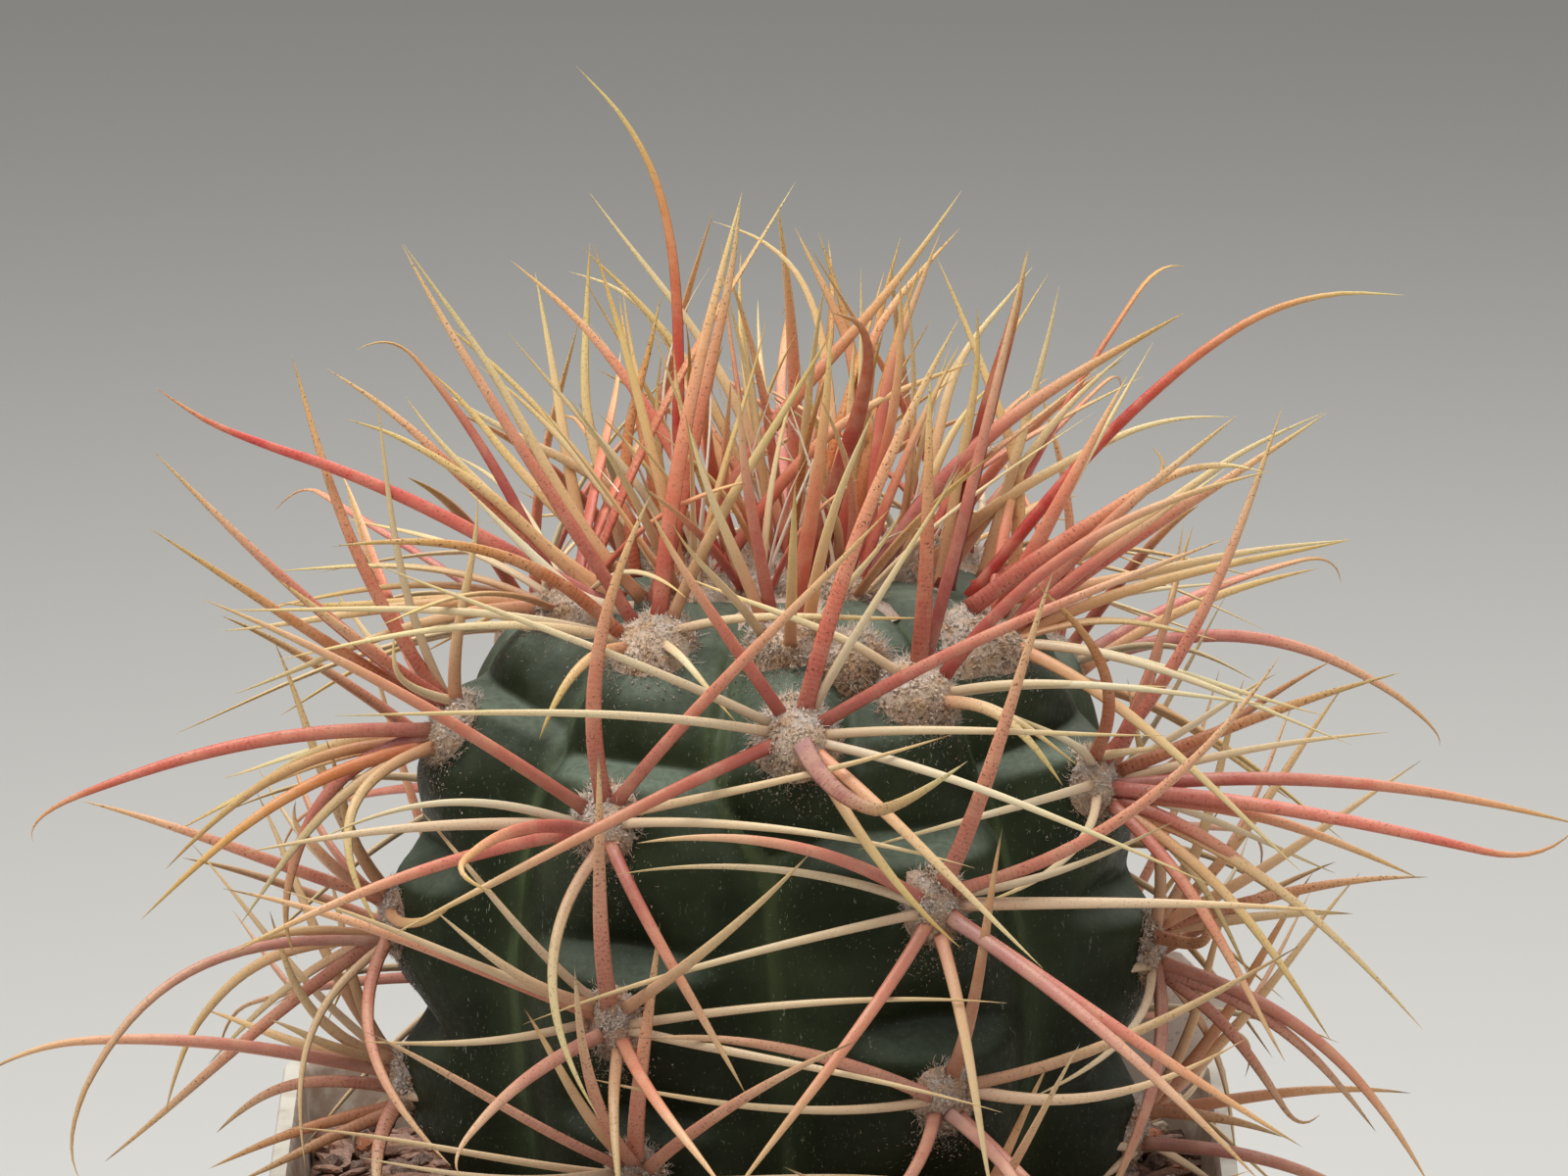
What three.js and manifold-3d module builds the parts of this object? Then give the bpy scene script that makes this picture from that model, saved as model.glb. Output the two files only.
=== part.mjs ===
// Young compass barrel cactus in a square plastic pot: ribbed barrel, felted areoles with their
// spines, woolly crown, gravelly soil and a blank plant label. Millimetres, +Z up, origin at the
// centre of the pot's flat underside. The front of the plant faces -Y.

import * as THREE from 'three';
import { mergeVertices } from 'three/addons/utils/BufferGeometryUtils.js';
import Module from 'manifold-3d';

const wasm = await Module();
wasm.setup();

// Pot
const POT_SIDE = 142;
const POT_FOOT_SIDE = 108;
const POT_HEIGHT = 124;
const POT_WALL = 2;
const POT_FLOOR = 2.4;
const POT_CORNER = 7;
const CORNER_STEPS = 3;
const COLLAR_HEIGHT = 13;
const COLLAR_STEP = 1.2;
const DRAIN_HOLE = 7;
const DRAIN_SPREAD = 34;

// Soil
const RIM_ABOVE_SOIL = 10;
const SOIL_LEVEL = POT_HEIGHT - RIM_ABOVE_SOIL;
const SOIL_CELLS = 18;
const PEBBLE_PITCH = 10;
const PEBBLE_RISE = 1.8;

// Gap between pieces that touch
const GAP = 0.35;

// Barrel: where its axis stands in the pot, and its rib crest line from the apex down, as
// [radius, height above the soil]
const PLANT_X = 3;
const CREST_LINE = [
  [0, 101], [12, 102], [22, 102.2], [32, 99.8], [40, 95.5], [46, 90], [50.5, 83], [53.5, 75],
  [55.2, 65], [55.8, 53], [55.4, 41], [54.2, 29], [52, 17], [48.5, 6], [45, -3], [41, -10],
];
const FOOT_HEIGHT = -12;
const FOOT_RADIUS = 34;
const APEX_HEIGHT = 101;
const LEAST_RADIUS = 0.5;

// Valleys between the ribs, full depth from VALLEY_FULL outwards
const VALLEY_DEPTH = 9.5;
const VALLEY_START = 14;
const VALLEY_FULL = 48;
const VALLEY_POWER = 1.8;

// Tubercles: a steep face above each areole, a notch, then the chin of the next one
const CHIN_DEPTH = 7;
const CHIN_SPREAD = 12;
const CHIN_POWER = 1.5;
const CHIN_START = 20;
const CHIN_FULL = 60;
const AREOLE_PITCH = 28;
const FACE_SHARE = 0.2;
const NOTCH_SHARE = 0.37;

// Young ribs: valley beside them as a share of a full one, half width in degrees, and the way
// below their lowest areole over which they fade out
const YOUNG_VALLEY = 0.65;
const YOUNG_HALF = 13.5;
const YOUNG_SQUEEZE = 0.45;
const YOUNG_FADE = 26;

// Places of the barrel's grid lines between two ribs, and between two areoles of one rib
const COLUMN_SHARES = [0, 0.12, 0.27, 0.41, 0.5, 0.59, 0.73, 0.88];
const ROW_SHARES = [FACE_SHARE, NOTCH_SHARE, 0.56, 1 - FACE_SHARE];
const ROWS_UP = 4;
const APEX_RING = 0.55;

// Main ribs, each with its areoles from the lowest up, as [azimuth, way down from the apex].
// Azimuth 0 faces the front and grows towards +X. The lowest ones may be buried.
const RIBS = {
  left: [[-79, 139], [-80, 113], [-78, 87.5], [-69, 56.5], [-70, 31]],
  front_left: [[-21, 142], [-21, 115], [-24, 92], [-27, 63.5], [-32, 33.5]],
  front_right: [[26, 131], [26, 103.5], [24.5, 75], [30, 43.5], [32, 22]],
  right: [[78, 146], [78, 120], [75, 91.5], [61, 63.5], [57, 37]],
  back_right: [[128, 140], [128, 114], [128, 88.5], [126, 60], [120, 33]],
  back: [[180, 129], [180, 101], [178, 73], [176, 45], [174, 24]],
  back_left: [[231, 136], [231, 108], [230, 80], [228, 52.5], [224, 30]],
};

// Young ribs that start on the shoulder between two main ribs, with their areoles
const YOUNG_RIBS = {
  front_middle: [[4, 49.5], [3, 31.5]],
  back_middle: [[152, 48]],
  rear_left: [[204, 50]],
};

// Felt and crown
const FELT = { across: 4.9, along: 6, rise: 2.6, sunk: 1.2, sides: 6 };
const YOUNG_FELT = { across: 5.6, along: 6.4, rise: 3.4, sunk: 1.2, sides: 6 };
const YOUNG_WAY = 50;
const LOWEST_AREOLE = 8;
const POCKET_GAP = 0.42;
const POCKET_REACH = 8;
const CROWN_RADIUS = 24;
const CROWN_SIDES = 20;
const CROWN_SEAT = 100.4;
const CROWN_RISE = 4.5;
const CROWN_MARGIN = 6;
const CROWN_ROOT = 102;

// Spine kinds: width at the root, and thickness as a share of it
const KINDS = {
  central: { width: 2.6, flat: 0.6, steps: 4 },
  upper: { width: 2.8, flat: 0.5, steps: 3 },
  red: { width: 2.1, flat: 0.6, steps: 3 },
  tan: { width: 1.9, flat: 0.6, steps: 3 },
  ivory: { width: 1.6, flat: 0.7, steps: 3 },
};
const SPINES_A_BUNCH = 8;

// Shape of a spine: how it arches off the felt, where it stands on it, and its taper
const SPINE_RISE = 2;
const EXIT_LIFT = 4;
const ROOT_ACROSS = 1.8;
const ROOT_ALONG = 2.4;
const ROOT_LIFT = 0.8;
const TAPER_START = 2.4;
const TAPER_END = 0.8;

// Spines of the areoles that show at the front, read in the front view, which looks down by
// VIEW_DOWN: [right of the axis, up from the soil line, out from the areole, bow, kind,
// hook right, hook up]. The bow is how far the spine bulges to the left of its own way.
const VIEW_DOWN = 14;
const SEEN = {
  left_3: [
    [-104, 65, 8, -5, 'central', -1.5, -5], [-88, 116.5, 10, 1, 'red'], [-90, 50, 6, -3, 'tan'],
    [-68.5, 130, 2, 2, 'red'], [-88.5, 105.5, 2, 0, 'tan'], [-77, 67, -14, -2, 'tan'],
    [-56.5, 125, -12, 1, 'ivory'], [-60, 51, 12, -3, 'tan'],
  ],
  left_2: [
    [-102, 17, 12, -11, 'central', 3, -4.6], [-99.5, 66.5, 0, -1, 'red'], [-71.5, 89, 4, 0, 'tan'],
    [-86, 30, -6, -5, 'tan', -2, -9], [-46, 15, 20, -5, 'red'], [-97, 14, -14, 0, 'red'],
    [-64, 75.5, 12, 0, 'tan'],
  ],
  left_1: [
    [-108, 31, 8, -3, 'central', -6, -4], [-72.5, 50.5, 8, 3, 'tan'], [-75, 67.5, -6, 0, 'tan'],
    [-24, 23, 12, 0, 'ivory'], [-83, 36, -10, 0, 'tan'], [-77.5, 11.5, 6, 0, 'tan'],
  ],
  front_left_4: [
    [-4.5, 153, 4, 1, 'upper'], [-52.5, 145.5, 4, 1, 'red'], [-62, 101.5, 12, -5, 'red'],
    [22, 93, 8, 0, 'ivory'], [-70, 87, 4, -2, 'ivory'], [-33, 76, 10, -2, 'tan'],
    [-5.5, 78.5, 10, 0, 'ivory'],
  ],
  front_left_3: [
    [-17, 111, 14, 1, 'upper'], [-37, 55, 34, -3, 'central', 5, -4], [16, 108, 16, 0, 'red'],
    [-79.5, 95.5, 14, -2, 'red'], [-74.5, 60, 8, -1.5, 'ivory'], [26, 77, 10, -1, 'ivory'],
    [-76, 46, 16, -2, 'red'], [-4, 26.5, 14, 0, 'red'],
  ],
  front_left_2: [
    [-24.5, 74.5, 18, 0, 'upper'], [-45, 17.5, 26, -2, 'central', 1.5, -2], [5, 60.5, 14, -1, 'tan'],
    [-77, 55, 10, -2, 'red'], [32.5, 39, 10, 2, 'ivory'], [-1.5, 8, 14, 0, 'red'],
    [-58, 33.5, 7, 1, 'ivory'], [-50.5, 67, 8, 0, 'ivory'],
  ],
  front_left_1: [
    [-35, 38, 12, 0, 'tan'], [-16, 50, 14, 0, 'upper'], [-58, 17, 9, 1, 'ivory'],
    [20, 14, 9, 1, 'ivory'], [-24, 3, 30, -2, 'central', 1, -3],
  ],
  front_middle_1: [
    [26, 135, 10, 2, 'upper'], [18.5, 65.5, 24, -4, 'central', 8.5, 6.5], [63, 104, 14, 1, 'red'],
    [-17.5, 108.5, 12, 1, 'red'], [54.5, 76.5, 8, 0, 'ivory'], [-60.5, 79.5, 10, -1, 'ivory'],
    [61.5, 55.5, 12, 1, 'ivory'], [-53, 49, 16, 0, 'red'],
  ],
  front_right_4: [
    [69.5, 113.5, 10, 5, 'red'], [22, 127, 8, 0, 'upper'], [36, 145, 2, 0, 'red'],
    [71, 80.5, 8, 1, 'ivory'], [40.5, 69.5, 10, 2, 'tan'], [-13, 99, 6, 0, 'ivory'],
  ],
  front_right_3: [
    [39, 99.5, 14, 0, 'upper'], [66, 9, 26, 2, 'central'], [70.5, 87.5, 14, -5, 'red'],
    [-19, 61.5, 12, -4, 'red'], [-6.5, 11.5, 12, 0, 'red'], [58, 50, 8, 1, 'ivory'],
    [-35, 36, 9, -1.5, 'ivory'], [30, 9, 14, 0, 'tan'],
  ],
  front_right_2: [
    [32, 63.5, 14, 0, 'upper'], [38.5, 4, 30, 2, 'central'], [-18.5, 34, 10, -3, 'red'],
    [58.5, 34, 9, -2, 'ivory'], [-27, 28.5, 9, 2, 'ivory'], [57, 27, 9, 1, 'ivory'],
    [6, 3, 16, 2, 'red'],
  ],
  front_right_1: [
    [39, 30.5, 12, 0, 'upper'], [-14, 9, 12, 0, 'ivory'], [52, 8, 12, 0, 'ivory'],
  ],
  right_4: [
    [82, 104, 2, 1, 'tan'], [78.5, 122, 4, 0, 'red'], [65.5, 121.5, 10, 1, 'red'],
    [54, 132, -4, 0, 'ivory'],
  ],
  right_3: [
    [115, 63.5, 2, 5, 'central'], [108.5, 58, 14, 1, 'central', 4.5, 4.5], [72, 122.5, 6, -2, 'red'],
    [37, 97.5, 16, -4, 'tan'], [69, 38.5, 12, 1, 'red'], [87.5, 76.5, -8, 1, 'ivory'],
    [12, 60.5, 10, 0, 'ivory'], [28, 52.5, 14, 3, 'ivory'],
  ],
  right_2: [
    [93.5, 12, 12, 5, 'central'], [93.5, 55.5, 4, 2, 'tan'], [91.5, 34.5, -8, 6, 'tan'],
    [50.5, 84, 12, 0, 'tan'], [23, 34, 10, 1, 'ivory'], [67.5, 84, 0, 0, 'tan'],
    [76, 20, 4, 2, 'red'],
  ],
  right_1: [
    [93, 3, 10, 4, 'central'], [92, 24, -4, 2, 'tan'], [24, 16, 12, 1, 'ivory'],
    [66, 54, 6, 0, 'tan'],
  ],
  back_right_3: [
    [98.5, 76, -6, 8, 'central'], [80, 100, -10, 2, 'tan'], [76, 66, -12, 1, 'tan'],
  ],
};

// The same reading for the young spines of the crown, each with the place of its root as
// [azimuth, radius]
const SEEN_CROWN = [
  [[-55, 19], [-28, 171, 4, -5, 'central']],
  [[20, 17], [13.5, 136, 14, 0, 'central', -6, 1]],
  [[75, 18], [89.5, 139, 4, 7, 'red']],
  [[40, 16], [58, 136, 10, 1, 'upper']],
  [[0, 6], [-26, 153.5, -2, 0, 'red']],
  [[130, 10], [-1, 148, -8, 3, 'tan', -8, 3]],
  [[-70, 12], [-37.5, 144, 2, 1, 'red']],
  [[40, 8], [27, 154, -4, 0, 'red']],
  [[95, 19], [23.5, 145, 4, 0, 'red']],
  [[100, 9], [37.5, 144, -6, 0, 'ivory']],
  [[-110, 18], [-27, 147, -6, 0, 'tan']],
  [[-120, 20], [-35, 142.5, -10, 0, 'ivory']],
  [[180, 8], [6.5, 149, -10, 0, 'tan']],
  [[-150, 14], [-8, 140, -14, 0, 'tan']],
  [[65, 20], [65.5, 121, 0, 2, 'red']],
  [[-30, 14], [3, 149, 6, 0, 'red']],
];

// Bunch on an areole that the front view hides: [right, up, out, bow, kind, hook right, hook up]
// from the areole itself, along its rib and straight out
const BUNCH = [
  [2, 44, 22, 1, 'upper'], [7, -14, 48, 2, 'central', 2, -6], [-36, 28, 16, -2, 'red'],
  [36, 27, 17, 2, 'red'], [-42, 2, 9, -2, 'ivory'], [43, -2, 9, 2, 'ivory'],
  [-24, -34, 15, 0, 'tan'], [25, -33, 14, 0, 'tan'],
];
const BUNCH_JITTER = 4;
const LOW_BUNCH_HEIGHT = 22;

// Young spines of the crown that the seeded rule adds round the ones above
const CROWN_RINGS = [
  { radius: 20, count: 12, lean: 34, length: 54 },
  { radius: 12, count: 8, lean: 20, length: 50 },
  { radius: 4.5, count: 4, lean: 9, length: 40 },
];

// Ways in which a spine is bent clear of its neighbours, tried in order
const BENDS = [
  [0, 0, 0], [0, 0, 3], [0, 0, -3], [0, 0, 6], [2, 2, 3], [-2, 2, 3], [2, -2, 3], [-2, -2, 3],
  [0, 0, 9], [0, 0, -6], [4, 0, 5], [-4, 0, 5], [0, 4, 5], [0, -4, 5], [0, 0, 13], [6, 6, 4],
  [-6, 6, 4], [6, -6, 4], [-6, -6, 4], [4, 4, 12], [-4, 4, 12], [0, 0, 18], [8, 0, 10],
  [-8, 0, 10], [0, 8, 10], [0, 0, -10], [6, 6, 16], [-6, 6, 16], [0, 0, 24],
];
const SHARES = [1, 0.85, 0.72, 0.6];
const CLEAR = 0.45;
const NEAR_ROOT = 12;
const NEAR_GAP = 0.7;
const SKIN_GAP = 1.3;
const FELT_GAP = 0.8;
const CROWN_GAP = 1;
const BURIED_IN_FELT = 3;
const BURIED_IN_CROWN = 7;
const RIM_BAND = [-6, 3];
const TABLE_STEP = 3;
const TABLE_START = 6;
const TABLE_PITCH = 1.5;

// Label: a blank strip that leans to the right out of the soil behind the plant
const LABEL = { width: 13.5, thick: 1, length: 62.6, lean: 45, buried: 24, x: 37.3, y: 52 };

const COLOURS = {
  pot: 0xd9d6cb,
  soil: 0x8f7565,
  barrel: 0x3d5548,
  bunch: 0xd2a27a,
  crown: 0xcf8a6a,
  label: 0xd8cfc8,
};

const radians = THREE.MathUtils.degToRad;
const clamp = THREE.MathUtils.clamp;
const smoothstep = THREE.MathUtils.smoothstep;

// Repeatable draw between -1 and 1 from a whole number
function draw(seed) {
  const mixed = Math.imul(seed ^ 0x5bd1e995, 0x27d4eb2d) >>> 0;
  const again = Math.imul(mixed ^ (mixed >>> 15), 0x85ebca6b) >>> 0;
  return ((again ^ (again >>> 13)) >>> 0) / 2147483648 - 1;
}

function toSolid(geometry) {
  const bare = geometry.clone();
  bare.deleteAttribute('normal');
  bare.deleteAttribute('uv');
  const merged = mergeVertices(bare, 1e-4);
  const vertProperties = new Float32Array(merged.attributes.position.array);
  const triVerts = new Uint32Array(merged.index.array);
  return new wasm.Manifold(new wasm.Mesh({ numProp: 3, vertProperties, triVerts }));
}

function toGeometry(solid) {
  const mesh = solid.getMesh();
  const geometry = new THREE.BufferGeometry();
  geometry.setAttribute('position', new THREE.BufferAttribute(new Float32Array(mesh.vertProperties), 3));
  geometry.setIndex(new THREE.BufferAttribute(new Uint32Array(mesh.triVerts), 1));
  geometry.computeVertexNormals();
  return geometry;
}

function toMesh(name, solid, colour, roughness) {
  const material = new THREE.MeshStandardMaterial({ color: colour, roughness, metalness: 0 });
  const mesh = new THREE.Mesh(toGeometry(solid), material);
  mesh.name = name;
  return mesh;
}

function fromPoints(points, triangles) {
  const geometry = new THREE.BufferGeometry();
  geometry.setAttribute('position', new THREE.Float32BufferAttribute(points.flat(), 3));
  geometry.setIndex(triangles.flat());
  return geometry;
}

// Crest line

const crest = new THREE.SplineCurve(CREST_LINE.map(([r, z]) => new THREE.Vector2(r, z)));
crest.arcLengthDivisions = 800;
const crestLength = crest.getLength();

// Radius, height and outward normal of the crest line, a given way down from the apex
function crestAt(way) {
  const share = clamp(way / crestLength, 0, 1);
  const point = crest.getPointAt(share);
  const tangent = crest.getTangentAt(share);
  return { r: point.x, z: point.y, nr: -tangent.y, nz: tangent.x };
}

// Value in column `part` of a rib's list of areoles, by the way down from the apex
function alongRib(list, way, part) {
  const first = list[0];
  const last = list[list.length - 1];
  if (way >= first[1]) return first[part];
  if (way <= last[1]) return last[part];
  const i = list.findIndex((areole) => areole[1] < way);
  const [lower, upper] = [list[i - 1], list[i]];
  const share = (lower[1] - way) / (lower[1] - upper[1]);
  return lower[part] + (upper[part] - lower[part]) * share;
}

function wrap(degrees) {
  return ((((degrees + 180) % 360) + 360) % 360) - 180;
}

// How far the crest of a rib falls back between two areoles: a steep top face above each areole,
// a notch, then the sloping chin of the next tubercle
function chin(list, way) {
  let lower = null;
  let upper = null;
  for (const [, at] of list) {
    if (at >= way && (lower === null || at < lower)) lower = at;
    if (at < way && (upper === null || at > upper)) upper = at;
  }
  if (lower === null) lower = upper + AREOLE_PITCH;
  if (upper === null) return 0;
  const share = (lower - way) / (lower - upper);
  const grown = smoothstep(way, CHIN_START, CHIN_FULL);
  const depth = CHIN_DEPTH * Math.min(1, (lower - upper) / AREOLE_PITCH) * grown;
  if (share < NOTCH_SHARE) return depth * smoothstep(share, FACE_SHARE * 0.8, NOTCH_SHARE);
  const left = clamp((1 - FACE_SHARE - share) / (1 - FACE_SHARE - NOTCH_SHARE), 0, 1);
  return depth * left ** CHIN_POWER;
}

const ribList = Object.values(RIBS);
const youngList = Object.values(YOUNG_RIBS);

// How far the skin lies below the crest line
function fallBack(azimuth, way) {
  const { r } = crestAt(way);
  const valley = VALLEY_DEPTH * smoothstep(r, VALLEY_START, VALLEY_FULL);
  let least = Infinity;
  ribList.forEach((rib, k) => {
    const axis = alongRib(rib, way, 0);
    const offset = wrap(azimuth - axis);
    const neighbour = ribList[(k + (offset > 0 ? 1 : ribList.length - 1)) % ribList.length];
    const spacing = Math.abs(wrap(alongRib(neighbour, way, 0) - axis));
    let half = spacing / 2;
    let depth = valley;
    for (const young of youngList) {
      const between = wrap(young[0][0] - axis) * Math.sign(offset);
      if (between > 0 && between < spacing) {
        const grown = 1 - smoothstep(way, young[0][1] + 2, young[0][1] + YOUNG_FADE);
        half *= 1 - YOUNG_SQUEEZE * grown;
        depth *= 1 - (1 - YOUNG_VALLEY) * grown;
      }
    }
    const arc = Math.abs(radians(offset)) * r;
    const notch = chin(rib, way) * Math.exp(-((arc / CHIN_SPREAD) ** 2));
    least = Math.min(least, depth * (Math.abs(offset) / half) ** VALLEY_POWER + notch);
  });
  for (const young of youngList) {
    const offset = wrap(azimuth - young[0][0]);
    const gone = smoothstep(way, young[0][1] + 4, young[0][1] + YOUNG_FADE);
    const ridge = valley * YOUNG_VALLEY * (Math.abs(offset) / YOUNG_HALF) ** VALLEY_POWER;
    least = Math.min(least, ridge + gone * VALLEY_DEPTH * 1.5);
  }
  return least;
}

function skinPoint(azimuth, way) {
  const { r, z, nr, nz } = crestAt(way);
  const back = fallBack(azimuth, way);
  const out = Math.max(LEAST_RADIUS, r - nr * back);
  const angle = radians(azimuth);
  return [out * Math.sin(angle), -out * Math.cos(angle), z - nz * back];
}

// Barrel: rows follow the areoles of each rib, so that every tubercle gets its own face, notch
// and chin with few triangles
function rowWay(rib, row) {
  const lower = clamp(Math.floor(row), 0, rib.length - 2);
  const share = row - lower;
  return rib[lower][1] + (rib[lower + 1][1] - rib[lower][1]) * share;
}

function barrelGrid() {
  const rows = [-FACE_SHARE];
  for (let k = 0; k < ROWS_UP; k += 1) {
    for (const share of ROW_SHARES) rows.push(k + share);
  }
  const grid = rows.map((row) => {
    const ring = [];
    ribList.forEach((rib, k) => {
      const next = ribList[(k + 1) % ribList.length];
      for (const share of COLUMN_SHARES) {
        const way = THREE.MathUtils.lerp(rowWay(rib, row), rowWay(next, row), smoothstep(share, 0.05, 0.95));
        const axis = alongRib(rib, way, 0);
        const azimuth = axis + wrap(alongRib(next, way, 0) - axis) * share;
        ring.push({ azimuth, way: Math.min(way, crestLength - 2) });
      }
    });
    return ring;
  });
  const top = grid[grid.length - 1];
  grid.push(top.map(({ azimuth, way }) => ({ azimuth, way: way * APEX_RING })));
  return grid;
}

function gridSolid(rings, bottom, top) {
  const count = rings[0].length;
  const points = [bottom, ...rings.flat(), top];
  const triangles = [];
  const at = (row, column) => 1 + row * count + (column % count);
  const apart = (a, b) => Math.hypot(...points[a].map((value, axis) => value - points[b][axis]));
  for (let c = 0; c < count; c += 1) {
    triangles.push([0, at(0, c + 1), at(0, c)]);
    triangles.push([points.length - 1, at(rings.length - 1, c), at(rings.length - 1, c + 1)]);
    for (let row = 0; row + 1 < rings.length; row += 1) {
      const [a, b] = [at(row, c), at(row, c + 1)];
      const [d, e] = [at(row + 1, c), at(row + 1, c + 1)];
      if (apart(a, e) < apart(b, d)) triangles.push([a, b, e], [a, e, d]);
      else triangles.push([a, b, d], [b, e, d]);
    }
  }
  return toSolid(fromPoints(points, triangles));
}

const grid = barrelGrid();
const skinRings = grid.map((ring) => ring.map(({ azimuth, way }) => skinPoint(azimuth, way)));
const collarRing = grid[0].map(({ azimuth }) => skinPoint(azimuth, crestLength));
const footRing = grid[0].map(({ azimuth }) => {
  const angle = radians(azimuth);
  return [FOOT_RADIUS * Math.sin(angle), -FOOT_RADIUS * Math.cos(angle), FOOT_HEIGHT];
});
const barrelRings = [footRing, collarRing, ...skinRings];
const bareBarrel = gridSolid(barrelRings, [0, 0, FOOT_HEIGHT], [0, 0, APEX_HEIGHT]);

// Skin radius by azimuth and height, for keeping spines clear of the barrel
const skinTable = [];
for (let azimuth = -180; azimuth < 180; azimuth += TABLE_STEP) {
  const column = [];
  for (let way = TABLE_START; way <= crestLength; way += TABLE_PITCH) {
    const [x, y, z] = skinPoint(azimuth, way);
    column.push([Math.hypot(x, y), z]);
  }
  skinTable.push(column);
}

function skinRadiusAt(azimuth, height) {
  const column = skinTable[Math.round((wrap(azimuth) + 180) / TABLE_STEP) % skinTable.length];
  let widest = 0;
  for (let i = 1; i < column.length; i += 1) {
    const [[r0, z0], [r1, z1]] = [column[i - 1], column[i]];
    if ((z0 - height) * (z1 - height) > 0) continue;
    const share = z1 === z0 ? 0 : (height - z0) / (z1 - z0);
    widest = Math.max(widest, THREE.MathUtils.lerp(r0, r1, share));
  }
  return widest;
}

// Areoles

const bothSides = new THREE.MeshBasicMaterial({ side: THREE.DoubleSide });
const barrelMesh = new THREE.Mesh(toGeometry(bareBarrel), bothSides);
const probe = new THREE.Raycaster();

function areoleFrame(name, azimuth, way) {
  const { r, z, nr, nz } = crestAt(way);
  const angle = radians(azimuth);
  const outward = new THREE.Vector3(Math.sin(angle), -Math.cos(angle), 0);
  const out = outward.clone().multiplyScalar(nr).setZ(nz).normalize();
  const right = new THREE.Vector3(Math.cos(angle), Math.sin(angle), 0);
  const up = new THREE.Vector3().crossVectors(out, right);
  const start = outward.clone().multiplyScalar(r).setZ(z).addScaledVector(out, VALLEY_DEPTH * 2);
  probe.set(start, out.clone().negate());
  const [hit] = probe.intersectObject(barrelMesh);
  const felt = way < YOUNG_WAY ? YOUNG_FELT : FELT;
  return { name, way, right, up, out, at: hit.point.clone(), felt };
}

function listAreoles() {
  const found = [];
  for (const [rib, list] of Object.entries({ ...RIBS, ...YOUNG_RIBS })) {
    let number = 1;
    for (const [azimuth, way] of list) {
      if (crestAt(way).z > LOWEST_AREOLE && way > CROWN_RADIUS + CROWN_MARGIN) {
        found.push(areoleFrame(`${rib}_${number}`, azimuth, way));
        number += 1;
      }
    }
  }
  return found;
}

const areoles = listAreoles();

// Oval ring round an areole, at a height over the skin
function ovalRing({ at, right, up, out, felt }, scale, extra, height) {
  return Array.from({ length: felt.sides }, (_, i) => {
    const angle = ((i + 0.5) / felt.sides) * 2 * Math.PI;
    return at.clone()
      .addScaledVector(right, (felt.across * scale + extra) * Math.cos(angle))
      .addScaledVector(up, (felt.along * scale + extra) * Math.sin(angle))
      .addScaledVector(out, height)
      .toArray();
  });
}

function overSkin({ at, out }, height) {
  return at.clone().addScaledVector(out, height).toArray();
}

// Felt cushion
function feltSolid(areole) {
  const { sunk, rise } = areole.felt;
  const rings = [ovalRing(areole, 1, 0, -sunk), ovalRing(areole, 0.86, 0, rise * 0.6)];
  return gridSolid(rings, overSkin(areole, -sunk), overSkin(areole, rise));
}

// Pocket in the barrel that the cushion sits in
function pocketSolid(areole) {
  const floor = -areole.felt.sunk - GAP;
  const rings = [ovalRing(areole, 1, POCKET_GAP, floor), ovalRing(areole, 1, POCKET_GAP, POCKET_REACH)];
  return gridSolid(rings, overSkin(areole, floor), overSkin(areole, POCKET_REACH));
}

function barrelSolid() {
  const height = CROWN_RADIUS;
  const seat = toSolid(new THREE.CylinderGeometry(CROWN_RADIUS + GAP, CROWN_RADIUS + GAP, height, CROWN_SIDES)
    .rotateX(Math.PI / 2).translate(0, 0, CROWN_SEAT + height / 2));
  return bareBarrel.subtract(wasm.Manifold.union([seat, ...areoles.map(pocketSolid)]));
}

const barrel = barrelSolid();

// Spines

const viewDown = radians(VIEW_DOWN);
const VIEW = {
  right: new THREE.Vector3(1, 0, 0),
  up: new THREE.Vector3(0, Math.sin(viewDown), Math.cos(viewDown)),
  out: new THREE.Vector3(0, -Math.cos(viewDown), Math.sin(viewDown)),
};

const UPRIGHT = new THREE.Vector3(0, 0, 1);

function along(axes, [a, b, c]) {
  return new THREE.Vector3()
    .addScaledVector(axes.right, a).addScaledVector(axes.up, b).addScaledVector(axes.out, c);
}

// Centre line of a spine: a smooth curve from its root to `to`, bowed sideways and arched
// outwards where it leaves the felt, and then its hook, if it has one
function spineLine(root, exit, axes, spine, steps) {
  const [a, b, c, bow, , hookRight = 0, hookUp = 0] = spine;
  const chord = along(axes, [a, b, c]);
  const flat = Math.hypot(a, b) || 1;
  const bulge = along(axes, [(-b / flat) * bow, (a / flat) * bow, SPINE_RISE]).multiplyScalar(4 / 3);
  const end = root.clone().add(chord);
  const curve = new THREE.CubicBezierCurve3(
    root,
    root.clone().addScaledVector(chord, 0.33).add(bulge).addScaledVector(exit, EXIT_LIFT),
    root.clone().addScaledVector(chord, 0.67).add(bulge),
    end,
  );
  const points = curve.getPoints(steps);
  if (hookRight || hookUp) {
    points.push(end.clone().add(along(axes, [hookRight, hookUp, 0])));
  }
  return points;
}

function spineWidths(points, width) {
  const lengths = [0];
  for (let i = 1; i < points.length; i += 1) {
    lengths.push(lengths[i - 1] + points[i].distanceTo(points[i - 1]));
  }
  const total = lengths[lengths.length - 1];
  return lengths.map((length) => width * (1 - (length / total) ** TAPER_START) ** TAPER_END);
}

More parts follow.
